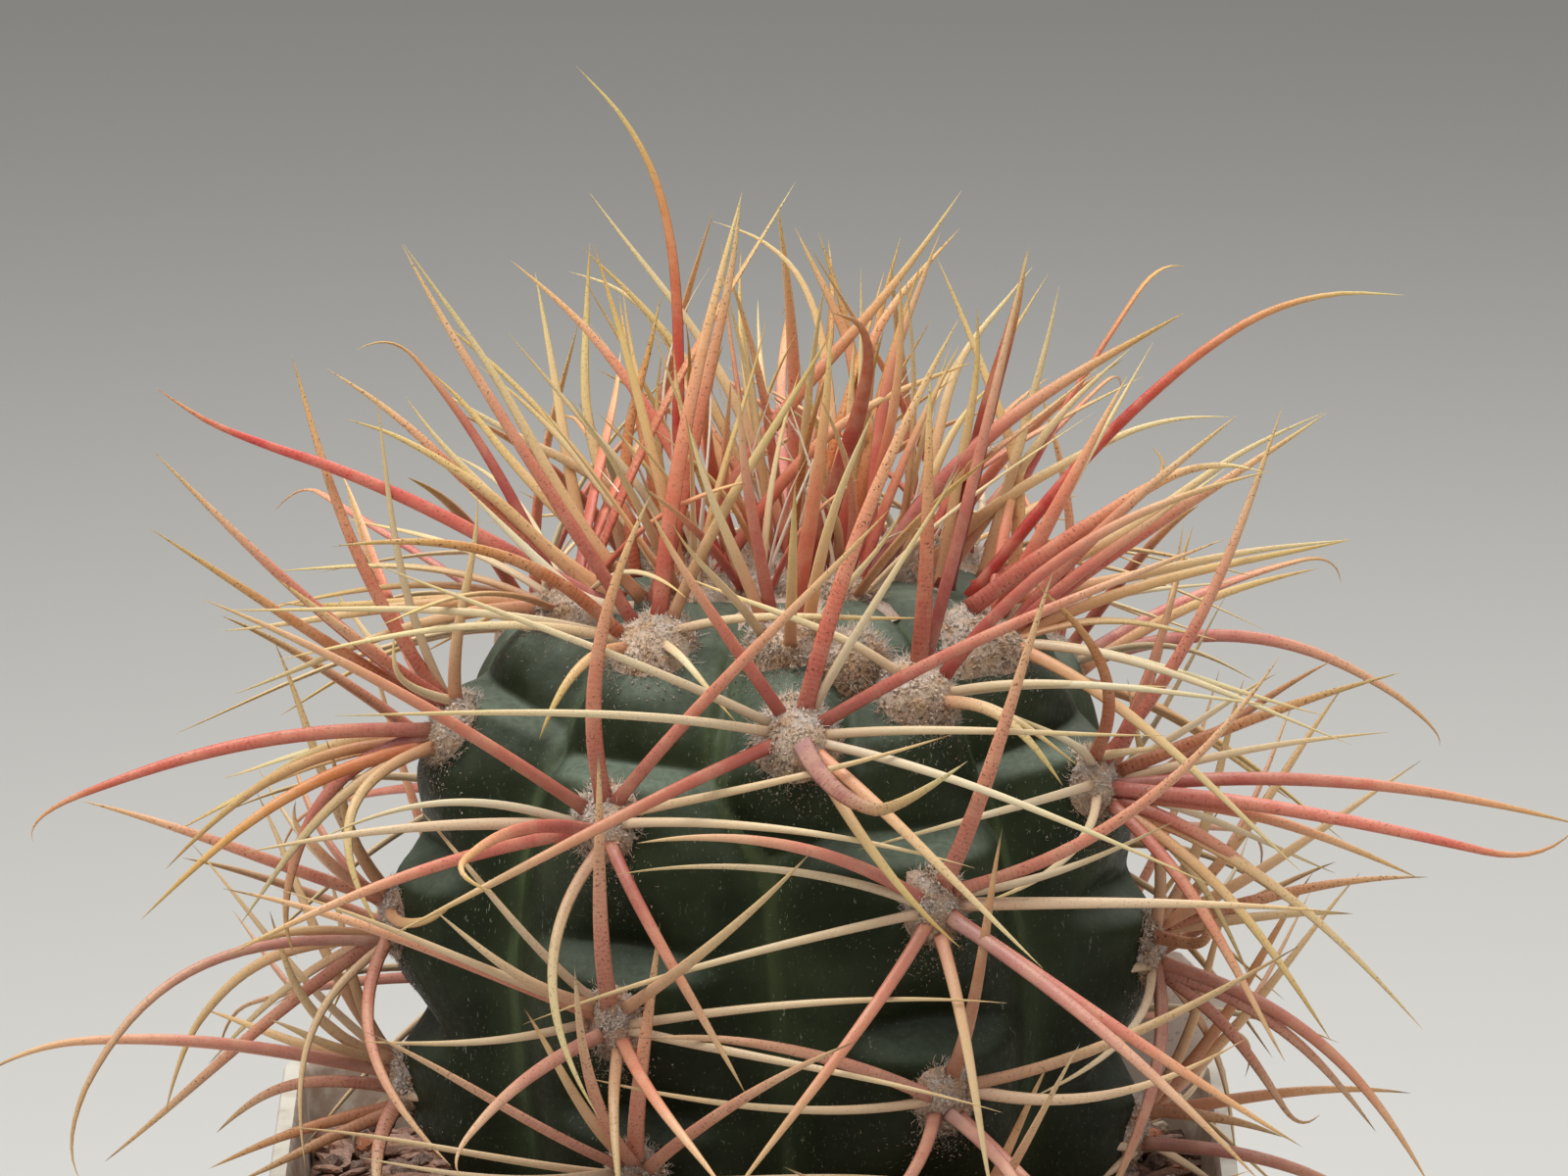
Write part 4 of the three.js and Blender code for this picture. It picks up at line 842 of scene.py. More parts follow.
# %% Spine kinds
PINK_LANCE = [(168, 128, 124), (196, 118, 116), (216, 146, 130), (228, 184, 148), (204, 166, 108)]
RED_LANCE = [(150, 96, 94), (182, 92, 90), (204, 112, 100), (220, 160, 120), (210, 178, 112)]
KINDS = {
    "central": dict(width=2.4, flat=0.5, freckles=0.8, taper=2.4, pink=PINK_LANCE, golden=RED_LANCE),
    "hooked": dict(
        width=3.0, flat=0.4, freckles=0.8, taper=1.6,
        pink=[(196, 154, 152), (170, 118, 114), (160, 94, 78), (198, 164, 110), (216, 200, 144)],
        golden=[(196, 154, 152), (174, 120, 116), (164, 98, 82), (198, 164, 110), (216, 200, 144)]),
    "ember": dict(
        width=3.0, flat=0.45, freckles=0.9, taper=2.3,
        pink=[(118, 50, 46), (144, 60, 52), (158, 70, 58), (176, 98, 70), (206, 172, 116)],
        golden=[(128, 54, 48), (152, 66, 54), (166, 76, 60), (186, 108, 76), (210, 180, 120)]),
    "crimson": dict(
        width=1.8, flat=0.55, freckles=0.5, taper=2.6,
        pink=[(158, 56, 54), (184, 66, 66), (194, 84, 78), (202, 132, 92), (208, 196, 134)],
        golden=[(150, 58, 50), (176, 70, 62), (190, 92, 76), (206, 146, 96), (206, 192, 128)]),
    "rust": dict(
        width=2.0, flat=0.5, freckles=0.9, taper=1.8,
        pink=[(162, 82, 62), (184, 100, 66), (196, 124, 76), (202, 150, 94), (190, 164, 104)],
        golden=[(174, 100, 70), (194, 118, 74), (204, 140, 84), (208, 166, 102), (192, 168, 106)]),
    "straw": dict(
        width=1.9, flat=0.5, freckles=0.35, taper=1.6,
        pink=[(214, 144, 120), (226, 180, 144), (232, 204, 160), (230, 212, 168), (220, 204, 150)],
        golden=[(216, 162, 126), (226, 188, 140), (230, 204, 154), (226, 208, 160), (214, 196, 140)]),
    "lance": dict(width=2.0, flat=0.6, freckles=0.5, taper=2.6, pink=PINK_LANCE, golden=RED_LANCE),
    "banded": dict(
        width=2.1, flat=0.55, freckles=0.5, taper=2.6,
        pink=[(178, 122, 120), (212, 124, 114), (210, 104, 98), (202, 84, 84), (208, 166, 112)],
        golden=[(170, 108, 100), (206, 116, 102), (212, 116, 100), (206, 100, 86), (210, 172, 114)]),
    "slim": dict(width=1.55, flat=0.7, freckles=0.4, taper=2.8, pink=PINK_LANCE, golden=PINK_LANCE),
    "upper": dict(
        width=2.5, flat=0.45, freckles=0.9, taper=1.8,
        pink=[(176, 92, 82), (214, 120, 104), (228, 152, 124), (232, 188, 146), (222, 204, 150)],
        golden=[(168, 88, 76), (204, 114, 92), (216, 144, 110), (224, 182, 130), (220, 202, 144)]),
    "red": dict(
        width=1.9, flat=0.55, freckles=0.6, taper=2.3,
        pink=[(158, 82, 76), (198, 102, 94), (218, 132, 114), (228, 178, 142), (216, 188, 132)],
        golden=[(166, 92, 78), (204, 120, 100), (220, 152, 120), (228, 190, 144), (210, 180, 118)]),
    "tan": dict(
        width=1.75, flat=0.55, freckles=0.5, taper=2.1,
        pink=[(202, 152, 122), (218, 180, 138), (226, 202, 150), (224, 204, 146), (202, 172, 108)],
        golden=[(190, 132, 104), (210, 160, 118), (220, 184, 132), (216, 188, 126), (190, 154, 92)]),
    "ivory": dict(
        width=1.4, flat=0.62, freckles=0.25, taper=1.6,
        pink=[(214, 194, 168), (234, 218, 186), (238, 224, 188), (234, 216, 168), (216, 192, 132)],
        golden=[(214, 186, 156), (230, 208, 168), (236, 214, 172), (228, 204, 152), (210, 180, 118)]),
    "cream": dict(
        width=1.9, flat=0.55, freckles=0.3, taper=1.5,
        pink=[(212, 188, 166), (236, 216, 190), (242, 226, 198), (238, 218, 178), (220, 194, 138)],
        golden=[(214, 184, 160), (234, 208, 176), (240, 216, 182), (232, 206, 160), (214, 182, 122)]),
    "white": dict(
        width=0.62, flat=0.8, freckles=0.0, taper=1.6,
        pink=[(236, 228, 212), (240, 236, 224), (242, 238, 228), (238, 234, 218), (220, 208, 174)],
        golden=[(228, 216, 194), (238, 228, 208), (238, 230, 210), (234, 224, 198), (212, 194, 150)]),
}
print(len(KINDS), "kinds of spine")

# %% [markdown]
# ## The horn round a centre line
#
# A bevelled curve object is the usual way to a tube, but its section is the same all along. Here
# each ring of eight points is placed one by one: it is oval, has a groove on its outer side, swells
# at the root and tapers late. Every point carries its tint, how far up the spine it is, and how
# freckled the spine is.

# %% Tube around a line
SIDES = 8
TAPER_END = 0.8
ROOT_SWELLING = 0.22
SWELLING_MM = 1.3
GROOVE_DEPTH = 0.1
GROOVE_WIDTH = 0.17
TIP_MM = 0.3
VIVID_TINT = 1.1
VIVID_FADE = 5
DEEPER = 0.915
CRIMSON = np.array(srgb(168, 24, 40)[:3])
FADED = np.array(srgb(204, 168, 142)[:3])
FADING_BY_AGE = 0.42


def spine_tube(line, facing, kind, rng, age=0.0, vivid=0.0):
    """Points, faces, tints and the values (share of the way, millimetres, freckles) of one spine."""
    look = KINDS[kind]
    width, flat, freckles = look["width"], look["flat"], look["freckles"]
    steps = len(line)
    travel = np.concatenate([[0.0], np.cumsum(np.linalg.norm(np.diff(line, axis=0), axis=1))])
    share = travel / travel[-1]
    widths = width * np.maximum(1 - share ** look["taper"], 0) ** TAPER_END
    widths = np.maximum(widths * (1 + ROOT_SWELLING * np.exp(-travel / SWELLING_MM)), 0.05)
    tangent = unit_rows(np.gradient(line, axis=0))
    side = unit_rows(np.cross(tangent, facing))
    keel = np.cross(side, tangent)
    angle = np.arange(SIDES) / SIDES * 2 * np.pi
    across = np.cos(angle) / 2
    over = np.sin(angle) / 2 * flat
    groove = GROOVE_DEPTH * flat * np.exp(-((across / GROOVE_WIDTH) ** 2))
    over = over - np.where(np.sin(angle) > 0, groove, 0.0)
    section = side[:, None, :] * across[None, :, None] + keel[:, None, :] * over[None, :, None]
    points = (line[:, None, :] + widths[:, None, None] * section).reshape(-1, 3)
    points = np.vstack([points, line[-1] + tangent[-1] * TIP_MM, line[0]])
    faces = ring_faces(steps, SIDES)
    last = (steps - 1) * SIDES
    faces += [(last + i, last + (i + 1) % SIDES, len(points) - 2) for i in range(SIDES)]
    faces += [((i + 1) % SIDES, i, len(points) - 1) for i in range(SIDES)]
    mix = rng.uniform(0, 1)
    pairs = zip(np.array(look["pink"]), np.array(look["golden"]))
    stops = np.array([srgb(*(pink * mix + golden * (1 - mix)))[:3] for pink, golden in pairs])
    shift = rng.normal(0, 0.06)
    tint = np.stack([np.interp(share + shift * share, np.linspace(0, 1, 5), stops[:, c]) for c in range(3)], axis=-1)
    tint = tint + (CRIMSON - tint) * (vivid * np.exp(-share * VIVID_FADE))[:, None]
    tint = tint + (FADED - tint) * age * FADING_BY_AGE
    warm = rng.normal(0.012, 0.025)
    tint = tint * (1 + rng.normal(0, 0.07)) * np.array([1 + warm, 1.0, 1 - warm])
    dark_end = age * smoothstep(share, 0.9, 1.0)[:, None]
    tint = tint * (1 - 0.75 * dark_end * (rng.random() < 0.6))
    grey = tint.mean(axis=1, keepdims=True)
    tint = np.clip(grey + (tint - grey) * VIVID_TINT, 0.01, 0.9) * DEEPER
    each = np.repeat(np.hstack([tint, np.ones((steps, 1))]), SIDES, axis=0)
    each = np.vstack([each, each[-1], each[0]])
    freckled = freckles * rng.uniform(0.3, 1.3)
    value = np.stack([share, travel, np.full(steps, freckled)], axis=-1)
    value = np.repeat(value, SIDES, axis=0)
    value = np.vstack([value, value[-1], value[0]])
    return points, faces, each, value


sample = spine_tube(trial, np.array([0.0, 0.0, 1.0]), "tan", np.random.default_rng(0))
print("one spine has", len(sample[1]), "faces")


# %% [markdown]
# ## Spine material
#
# Spines are horn-like and carry fine raised rings all the way up, one for each spurt of growth.
# The tint on the points gives the long gradient, a wave along the spine gives the rings, and two
# noises add the brown freckles and thin streaks. A little light passes through, as through a nail.

# %% Spine material
horn, tree, shader = new_material("spine_horn")
place = place_in_mm(tree)
tint = tree.nodes.new("ShaderNodeAttribute")
tint.attribute_name = "tint"
value = tree.nodes.new("ShaderNodeAttribute")
value.attribute_name = "spine"
parts = add(tree, "ShaderNodeSeparateXYZ", {0: value.outputs["Vector"]})
wobble = calculate(tree, "MULTIPLY", noise_over(tree, place, 0.55, 2.0), 9.0)
phase = calculate(tree, "ADD", calculate(tree, "MULTIPLY", parts.outputs["Y"], 8.0), wobble)
rings = calculate(tree, "SINE", phase)
ring_shade = between(tree, rings, -1.0, 1.0, 0.0, 1.0)
fading = between(tree, parts.outputs["X"], 0.55, 0.95, 1.0, 0.15)
ringed = calculate(tree, "MULTIPLY", fading, between(tree, parts.outputs["Z"], 0.25, 1.1))
light = calculate(tree, "MULTIPLY", calculate(tree, "MULTIPLY", ring_shade, ringed), 0.05)
colour = blend_colours(tree, light, tint.outputs["Color"], srgb(255, 226, 206), "SCREEN")
hollow = calculate(tree, "SUBTRACT", 1.0, ring_shade)
shadow = calculate(tree, "MULTIPLY", hollow, calculate(tree, "MULTIPLY", ringed, 0.07))
colour = blend_colours(tree, shadow, colour, srgb(170, 96, 76), "MULTIPLY")
blotch = between(tree, noise_over(tree, place, 0.22, 3.0), 0.42, 0.66)
colour = blend_colours(tree, calculate(tree, "MULTIPLY", blotch, 0.18), colour, srgb(236, 200, 160))
specks = between(tree, noise_over(tree, place, 2.8, 2.0, 0.6), 0.6, 0.66)
specks = calculate(tree, "MULTIPLY", specks, parts.outputs["Z"])
colour = blend_colours(tree, specks, colour, srgb(104, 54, 38))
tree.links.new(colour, shader.inputs["Base Color"])
shader.inputs["Roughness"].default_value = 0.42
shader.inputs["Subsurface Weight"].default_value = 0.05
shader.inputs["Subsurface Radius"].default_value = (1.0, 0.45, 0.25)
shader.inputs["Subsurface Scale"].default_value = 0.0015
ridges = relief(tree, calculate(tree, "MULTIPLY", rings, ringed), 0.004)
streaks = noise_over(tree, place, 2.4, 3.0)
tree.links.new(relief(tree, streaks, 0.06, ridges), shader.inputs["Normal"])
print("spine_horn has", len(tree.nodes), "nodes")

# %% [markdown]
# ## Where the spines point
#
# The spines of the areoles that show at the front were read one by one in the front view: where
# the tip is, right of the axis and up from the soil line in millimetres, how far out of the
# areole it reaches, how much it bows, its kind, and its hook. Areoles that the front view hides
# get the same bunch by a seeded rule.

# %% Spines read in the front view
SEEN = {
    "left_4": [
        (-77, 82, 4, -1, "straw"), (-79, 91, -2, 0, "straw"), (-71, 95, -6, 1, "tan"),
    ],
    "left_3": [
        (-106.4, 64.5, 8, -3, "banded", 1, -3.2), (-88, 116.5, 10, 1, "red"), (-90, 50, 6, -3, "rust"),
        (-68.5, 130, 2, 2, "red"), (-88.5, 105.5, 2, 0, "rust"), (-77, 67, -14, -2, "tan"),
        (-56.5, 125, -12, 1, "ivory"), (-55.5, 48, 12, -7.5, "tan"), (-87, 57, -6, -4, "tan"),
        (-70.5, 98.5, 14, 0, "red"), (-42, 110, 14, -1, "straw"), (-54, 91, 8, 3, "ivory"),
        (-70.5, 48, -5, -5.5, "lance", 2.1, -3.6), (-76, 49.3, 2, -2, "straw"),
    ],
    "left_2": [
        (-102, 17, 12, -11, "slim", 3, -4.6), (-99.5, 66.5, 0, -1, "red"), (-71.5, 89, 4, 0, "tan"),
        (-86, 30, -6, -5, "tan", -2, -9), (-46, 15, 20, -5, "red"), (-97, 14, -14, 0, "red"),
        (-64, 75.5, 12, 0, "tan"), (-78, 45, 2, -2, "tan"), (-45.5, 52.8, 8, -2.5, "tan"),
        (-69.3, 63.5, 6, 0, "red", 0.7, 3), (-67, 13.5, 8, -4.6, "ivory"),
    ],
    "left_1": [
        (-108, 31, 8, -3, "lance", -6, -4), (-72.5, 50.5, 8, 3, "tan"), (-75, 67.5, -6, 0, "tan"),
        (-24, 23, 12, 0, "ivory"), (-83, 36, -10, 0, "tan"), (-77.5, 11.5, 6, 0, "rust"),
        (-81, 18, -12, -4, "red"), (-72.7, 35, 4, 0, "tan"), (-57.5, 6, 12, 0, "upper"),
        (-84, 60, 0, 0, "ivory"), (-81.5, 13.3, 0, -1, "rust"), (-64.5, 56, -2, 0, "tan"),
    ],
    "front_left_4": [
        (-4.5, 153, 4, 1, "upper"), (-52.5, 145.5, 4, 1, "red"), (-62, 103, 12, -5, "rust"),
        (22, 93, 8, 0, "ivory"), (-70, 87, 4, -2, "ivory"), (-33, 76, 10, -2, "tan"),
        (-5.5, 78.5, 10, 0, "ivory"), (-78, 94, 4, -1, "ivory"), (8.5, 134, 8, 0, "tan"),
    ],
    "front_left_3": [
        (-17, 110.5, 14, 3.4, "upper"), (-45, 57.5, 30, -3, "lance", 6.4, -2.6), (16, 108, 16, 0, "red"),
        (-79.5, 95.5, 14, -2, "red"), (-74.5, 60, 8, -1.5, "cream"), (26, 77, 10, -1, "ivory"),
        (-76, 46, 16, -2, "red"), (-4, 26.5, 14, 0, "red"), (28, 58, 10, 2, "ivory"),
        (-24.5, 23.5, 16, -6, "tan"), (-63.5, 62, 6, -4, "ivory"),
    ],
    "front_left_2": [
        (-24.5, 74.5, 18, 0, "upper"), (-45, 17.5, 26, -2, "lance", 1.5, -2), (5, 60.5, 14, -1, "tan"),
        (-77, 55, 10, -2, "red"), (32.5, 39, 10, 2, "ivory"), (-1.5, 8, 14, 0, "red"),
        (-58, 33.5, 7, 1, "ivory"), (-50.5, 67, 8, 0, "ivory"), (-21.5, 10, 16, 0, "tan"),
        (-69.4, 55, 12, -1, "ivory"), (33.7, 25.9, 9, 1, "ivory"), (-47.5, 52, 10, 1, "straw"),
    ],
    "front_left_1": [
        (-35, 38, 12, 0, "tan"), (-16, 50, 14, 0, "upper"), (-58, 17, 9, 1, "ivory"),
        (20, 14, 9, 1, "ivory"), (-24, 3, 30, -2, "lance", 1, -3),
    ],
    "front_middle_1": [
        (26, 135, 10, 2, "upper"), (17, 66, 20, -3.2, "hooked", 9.8, 7), (63, 104, 14, 1, "red"),
        (-17.5, 108.5, 12, 1, "red"), (54.5, 76.5, 8, 0, "ivory"), (-60.5, 79.5, 10, -1, "ivory"),
        (61.5, 55.5, 12, 1, "ivory"), (-53, 49, 16, 0, "red"), (37.4, 44.2, 12, 0, "straw"),
        (26, 47, 10, -2, "tan"), (-56.3, 100.7, 10, 0, "ivory"), (26, 114, 8, 0, "ivory"),
    ],
    "front_middle_2": [
        (8, 134, 14, -1, "upper"), (-5, 126, 14, 1, "red"), (14, 122, 18, 1, "straw"), (-12, 120, 10, 1, "straw"),
        (3, 112, 20, 0, "tan"), (18, 108, 14, -1, "ivory"), (-14, 106, 12, 1, "ivory"),
    ],
    "front_right_4": [
        (69.5, 113.5, 10, 5, "red"), (22, 127, 8, 0, "upper"), (36, 145, 2, 0, "red"),
        (71, 80.5, 8, 1, "ivory"), (40.5, 69.5, 10, 2, "tan"), (-13, 99, 6, 0, "ivory"),
        (56.4, 83.3, 6, 0, "ivory"), (43, 72, 8, 1, "ivory"),
    ],
    "front_right_3": [
        (39, 99.5, 14, 0, "upper"), (67.5, 14.8, 23, 1.5, "lance"), (70.5, 87.5, 14, -5, "red"),
        (-19, 61.5, 12, -4, "red"), (-6.5, 11.5, 12, 0, "red"), (79.6, 51.7, 8, 1, "cream"),
        (-35, 36, 9, -1.5, "ivory"), (30.9, 10, 14, 0, "straw"), (73.4, 19.4, 16, -0.5, "lance"),
        (-22, 57, 7, -3, "ivory"), (55.9, 64.4, 8, -1, "ivory"),
    ],
    "front_right_2": [
        (32, 63.5, 14, 0, "rust"), (38.5, 4, 30, 2, "lance"), (-18.5, 34, 10, -3, "red"),
        (66, 33.7, 10, -3.5, "cream"), (-27, 28.5, 9, 2, "ivory"), (73.6, 46.9, 12, -1.5, "tan"),
        (6, 3, 16, 2, "red"), (45, 5, 14, 0, "red"),
    ],
    "front_right_1": [
        (39, 30.5, 12, 0, "rust"), (-14, 9, 12, 0, "ivory"), (52, 8, 12, 0, "ivory"),
    ],
    "right_4": [
        (82, 104, 2, 1, "tan"), (78.5, 122, 4, 0, "red"), (65.5, 121.5, 10, 1, "red"),
        (54, 132, -4, 0, "ivory"), (50, 127, 6, 0, "upper"), (59, 110.7, 6, 0, "red"),
        (64, 114, 2, 0, "straw"), (81.7, 75, 4, 1, "ivory"), (78.5, 79, 0, 0, "ivory"),
        (74.4, 57.2, 6, 1, "straw"),
    ],
    "right_3": [
        (115, 63.4, 2, 3, "lance"), (108.4, 58, 14, 1, "banded", 4.7, 5.1), (72, 122.5, 6, -2, "red"),
        (37, 97.5, 16, -4, "rust"), (72.1, 30.4, 14, 1, "red"), (87.5, 76.5, -8, 1, "ivory"),
        (12, 60.5, 10, 0, "ivory"), (28, 52.5, 14, 3, "ivory"), (33, 79.7, 8, 0, "ivory"),
        (55.7, 74.7, 6, 0, "ivory"), (91.4, 56, 6, 2, "red"), (89.3, 85, -4, 1, "rust"),
        (92, 34.6, 4, 3, "straw"), (79, 33, 4, 2, "tan"), (77, 50, 2, 1, "red"),
    ],
    "right_2": [
        (93.5, 12, 12, 5, "lance"), (93.6, 55.7, 4, 2, "rust"), (61.8, 52.5, 14, -3.5, "rust", -5.9, -0.4),
        (50.5, 84, 12, 0, "tan"), (22.3, 34, 10, -1.8, "ivory"), (67.5, 84, 0, 0, "tan"),
        (92.5, 72.3, 6, 0, "straw"), (75.5, 19, 4, 1, "red", 2.7, 2.6), (46, 6, 12, 2, "lance"),
        (32.4, 24.6, 12, 2.5, "ivory"), (82, 83, -4, 0, "tan"), (86, 19.5, 8, 3, "red"),
        (82.9, 50.4, 2, 1, "tan"),
    ],
    "right_1": [
        (93, 3, 10, 4, "lance"), (92, 24, -4, 2, "rust"), (27.2, 13.2, 12, -2, "ivory"),
        (66, 54, 6, 0, "tan"), (77.8, 56, 0, 0, "rust"), (84.6, 55.8, -2, 0, "straw"),
        (73.3, 18, 4, 1, "rust"), (22, 11, 10, 3, "ivory"),
    ],
    "back_right_3": [
        (98.5, 76, -6, 8, "lance", -0.7, -2), (80, 100, -10, 2, "tan"), (76, 66, -12, 1, "tan"),
    ],
}
print(sum(map(len, SEEN.values())), "spines were read in the front view, on", len(SEEN), "areoles")

# %% [markdown]
# ## Bunches by rule
#
# No view shows the back of the plant, so its areoles take one pattern of eleven spines, with a
# random shift for each tip and left and right swapped at random. The ribs at the two flanks are
# seen from one side only. Their hidden half gets four more spines that point to the back.

# %% Bunches by rule
# A whole bunch by rule: right, up and out from the areole, bow, kind, hook
BUNCH = [
    (2, 44, 22, 1, "upper"), (7, -14, 48, 2, "lance", 2, -6), (-36, 28, 16, -2, "red"),
    (36, 27, 17, 2, "red"), (-42, 2, 9, -2, "ivory"), (43, -2, 9, 2, "ivory"),
    (-24, -34, 15, 0, "tan"), (25, -33, 14, 0, "tan"), (-40, -20, 9, 1, "ivory"),
    (41, -21, 9, -1, "ivory"), (-20, 40, 10, -1, "ivory"),
]
BUNCH_JITTER = 5.5

# Spines of the two flanks that point to the back, where the front view can't show them
BACKWARD = [(41, 6, 10, 1, "ivory"), (33, 25, 14, 2, "red"), (36, -19, 10, -1, "ivory"), (22, -34, 13, 0, "tan")]
print("a bunch by rule has", len(BUNCH), "spines")

# %% [markdown]
# ## Keeping spines clear of each other
#
# Spines of neighbouring areoles weave past each other and never pass through. Each new spine is
# tested against those that stand already and against the skin. One that hits something is tried
# again a little further out or aside, as a growing spine would slide past. The test treats a
# spine as a chain of short straight pieces and finds the least distance between them.

# %% Clearance test
BENDS = [
    (0, 0, 0), (0, 0, 2), (0, 0, -2), (0, 0, 4), (1, 1, 3), (-1, 1, 3), (0, 0, 6), (1, -1, 4),
    (-1, -1, 4), (0, 0, -4), (0, 0, 9), (2, 2, 5), (-2, 2, 5), (2, -2, 5), (-2, -2, 5), (0, 0, 12),
    (4, 0, 8), (-4, 0, 8), (0, 4, 8), (0, 0, 16), (5, 5, 12), (-5, 5, 12), (0, 0, 22),
]
CLEAR = 0.12
FRONT_LIMIT = -88.0
SOIL_GAP = 2.5
APEX_HEIGHT = 102.5
FLATNESS = 0.8
CHAIN = 9
SKIN_GAP = 0.8
SKIN_SHARE = 0.6
PROBES = 24
AZIMUTH_STEP = 2

skin_heights = np.arange(-14.0, 104.0, 1.0)
skin_table = []
table_ways = np.arange(6.0, CREST_LENGTH, 1.0)
for azimuth in range(-180, 180, AZIMUTH_STEP):
    column, _ = skin_points(np.full(len(table_ways), float(azimuth)), table_ways)
    reach = np.hypot(column[:, 0], column[:, 1])
    widest = [np.max(np.where(np.abs(column[:, 2] - height) < 1.2, reach, 0.0)) for height in skin_heights]
    skin_table.append(widest)
skin_table = np.array(skin_table)


def skin_radius(points):
    azimuth = np.degrees(np.arctan2(points[:, 0], -points[:, 1]))
    column = np.round((wrap(azimuth) + 180) / AZIMUTH_STEP).astype(int) % len(skin_table)
    row = np.clip(np.round(points[:, 2] - skin_heights[0]).astype(int), 0, len(skin_heights) - 1)
    return np.where(points[:, 2] > APEX_HEIGHT, 0.0, skin_table[column, row])


def least_distances(a0, a1, b0, b1):
    """Least distances between each straight piece a and each straight piece b."""
    d1 = (a1 - a0)[:, None, :]
    d2 = (b1 - b0)[None, :, :]
    r = a0[:, None, :] - b0[None, :, :]
    a, e = (d1 * d1).sum(-1), (d2 * d2).sum(-1)
    b, c, f = (d1 * d2).sum(-1), (d1 * r).sum(-1), (d2 * r).sum(-1)
    s = np.clip((b * f - c * e) / np.maximum(a * e - b * b, 1e-9), 0, 1)
    t = np.clip((b * s + f) / e, 0, 1)
    s = np.clip((b * t - c) / a, 0, 1)
    return np.linalg.norm(r + d1 * s[..., None] - d2 * t[..., None], axis=-1)


standing = {"start": np.zeros((0, 3)), "end": np.zeros((0, 3)), "radius": np.zeros(0), "owner": np.zeros(0, int)}


def chain_of(line, kind):
    chain = even_line(line, CHAIN + 1)
    share = np.linspace(0, 1, CHAIN + 1)[:-1]
    radius = KINDS[kind]["width"] * (1 - share ** KINDS[kind]["taper"]) ** TAPER_END / 2
    return chain[:-1], chain[1:], radius


def stands_clear(line, kind, owner, rooted, clear=CLEAR):
    start, end, radius = chain_of(line, kind)
    probe = even_line(line, PROBES)
    travelled = np.linspace(0, np.linalg.norm(np.diff(line, axis=0), axis=1).sum(), PROBES)
    free = travelled > rooted
    away = np.hypot(probe[:, 0], probe[:, 1])
    width = KINDS[kind]["width"] / 2
    if np.any(free & (away < skin_radius(probe) + width * SKIN_SHARE + SKIN_GAP)):
        return False
    if np.any(free & (probe[:, 2] < SOIL_GAP)) or probe[:, 1].min() < FRONT_LIMIT:
        return False
    others = standing["owner"] != owner
    if not others.any():
        return True
    near = least_distances(start, end, standing["start"][others], standing["end"][others])
    room = radius[:, None] * FLATNESS + standing["radius"][others] * FLATNESS + clear
    return not np.any(near < room)


def stand(line, kind, owner):
    start, end, radius = chain_of(line, kind)
    standing["start"] = np.vstack([standing["start"], start])
    standing["end"] = np.vstack([standing["end"], end])
    standing["radius"] = np.concatenate([standing["radius"], radius])
    standing["owner"] = np.concatenate([standing["owner"], np.full(len(start), owner)])


gap = least_distances(trial[:1], trial[-1:], trial[:1] + [0, 3.0, 0], trial[-1:] + [0, 3.0, 0])[0, 0]
print("two lines side by side, 3 mm apart, come out", round(float(gap), 2), "mm apart")


# %% [markdown]
# ## Planning every bunch
#
# First all wanted spines are listed, with the largest of each areole first. Then they are placed
# in that order, so that small spines give way to large ones. A spine read in the front view
# always stays, and one that only the rule asks for is left out where there is no room.

# %% List and place the spines
ROOT_ACROSS = 2.4
ROOT_ALONG = 2.8
NEAR_THE_MIDDLE = {"hooked": 0.2, "central": 0.5, "banded": 0.5, "lance": 0.6, "upper": 0.85, "red": 1.0}
ELSEWHERE = 1.3
ROOT_LIFT = 0.9
ROOTED_IN_FELT = 5.0
STEPS = 24


def from_front_view(tip, at):
    return (tip[0] - at @ view_right, tip[1] - at @ view_up, tip[2])


def plan_bunch(number, areole):
    """All spines that an areole should have, as dictionaries."""
    rng = np.random.default_rng(900 + number)
    front_axes = np.array([view_right, view_up, view_out])
    seen = SEEN.get(areole["name"], [])
    plans = [(from_front_view(spine[:3], areole["at"]), front_axes, spine[3:], True) for spine in seen]
    young = 1 - smoothstep(areole["way"], 30, 60)
    by_rule = BUNCH[:max(0, len(BUNCH) - len(seen))] if len(seen) < 7 else []
    side = rng.choice([-1, 1])
    if areole["name"][:-2] in ("left", "right"):
        by_rule, side = by_rule + BACKWARD, np.sign(areole["azimuth"])
    for spine in by_rule:
        tip = np.array(spine[:3], float) * [side, 1, 1] * rng.uniform(0.88, 1.12)
        tip = tip + BUNCH_JITTER * rng.uniform(-1, 1, 3)
        tip[2] += 14 * young if spine is BUNCH[0] else 0
        if areole["at"][2] < 22 and tip[1] < -20:
            continue
        plans.append((tuple(tip), areole["axes"], (spine[3] * side, *spine[4:]), False))
    wanted = []
    for rank, (tip, axes, rest, must) in enumerate(plans):
        bow, kind, *hook = rest
        chord = np.asarray(tip) @ axes
        across, along = chord @ areole["axes"][0], chord @ areole["axes"][1]
        flat = math.hypot(across, along) or 1.0
        spread = NEAR_THE_MIDDLE.get(kind, ELSEWHERE)
        offset = np.array([across / flat * ROOT_ACROSS * spread, along / flat * ROOT_ALONG * spread, ROOT_LIFT])
        root = areole["at"] + offset @ areole["axes"]
        tip = axes @ (areole["at"] + chord - root)
        wanted.append(dict(owner=number, rank=rank, root=root, exit_way=areole["axes"][2], axes=axes, tip=tip,
                           bow=bow, kind=kind, hook=tuple(hook) or (0, 0), must=must, rooted=ROOTED_IN_FELT))
    return wanted


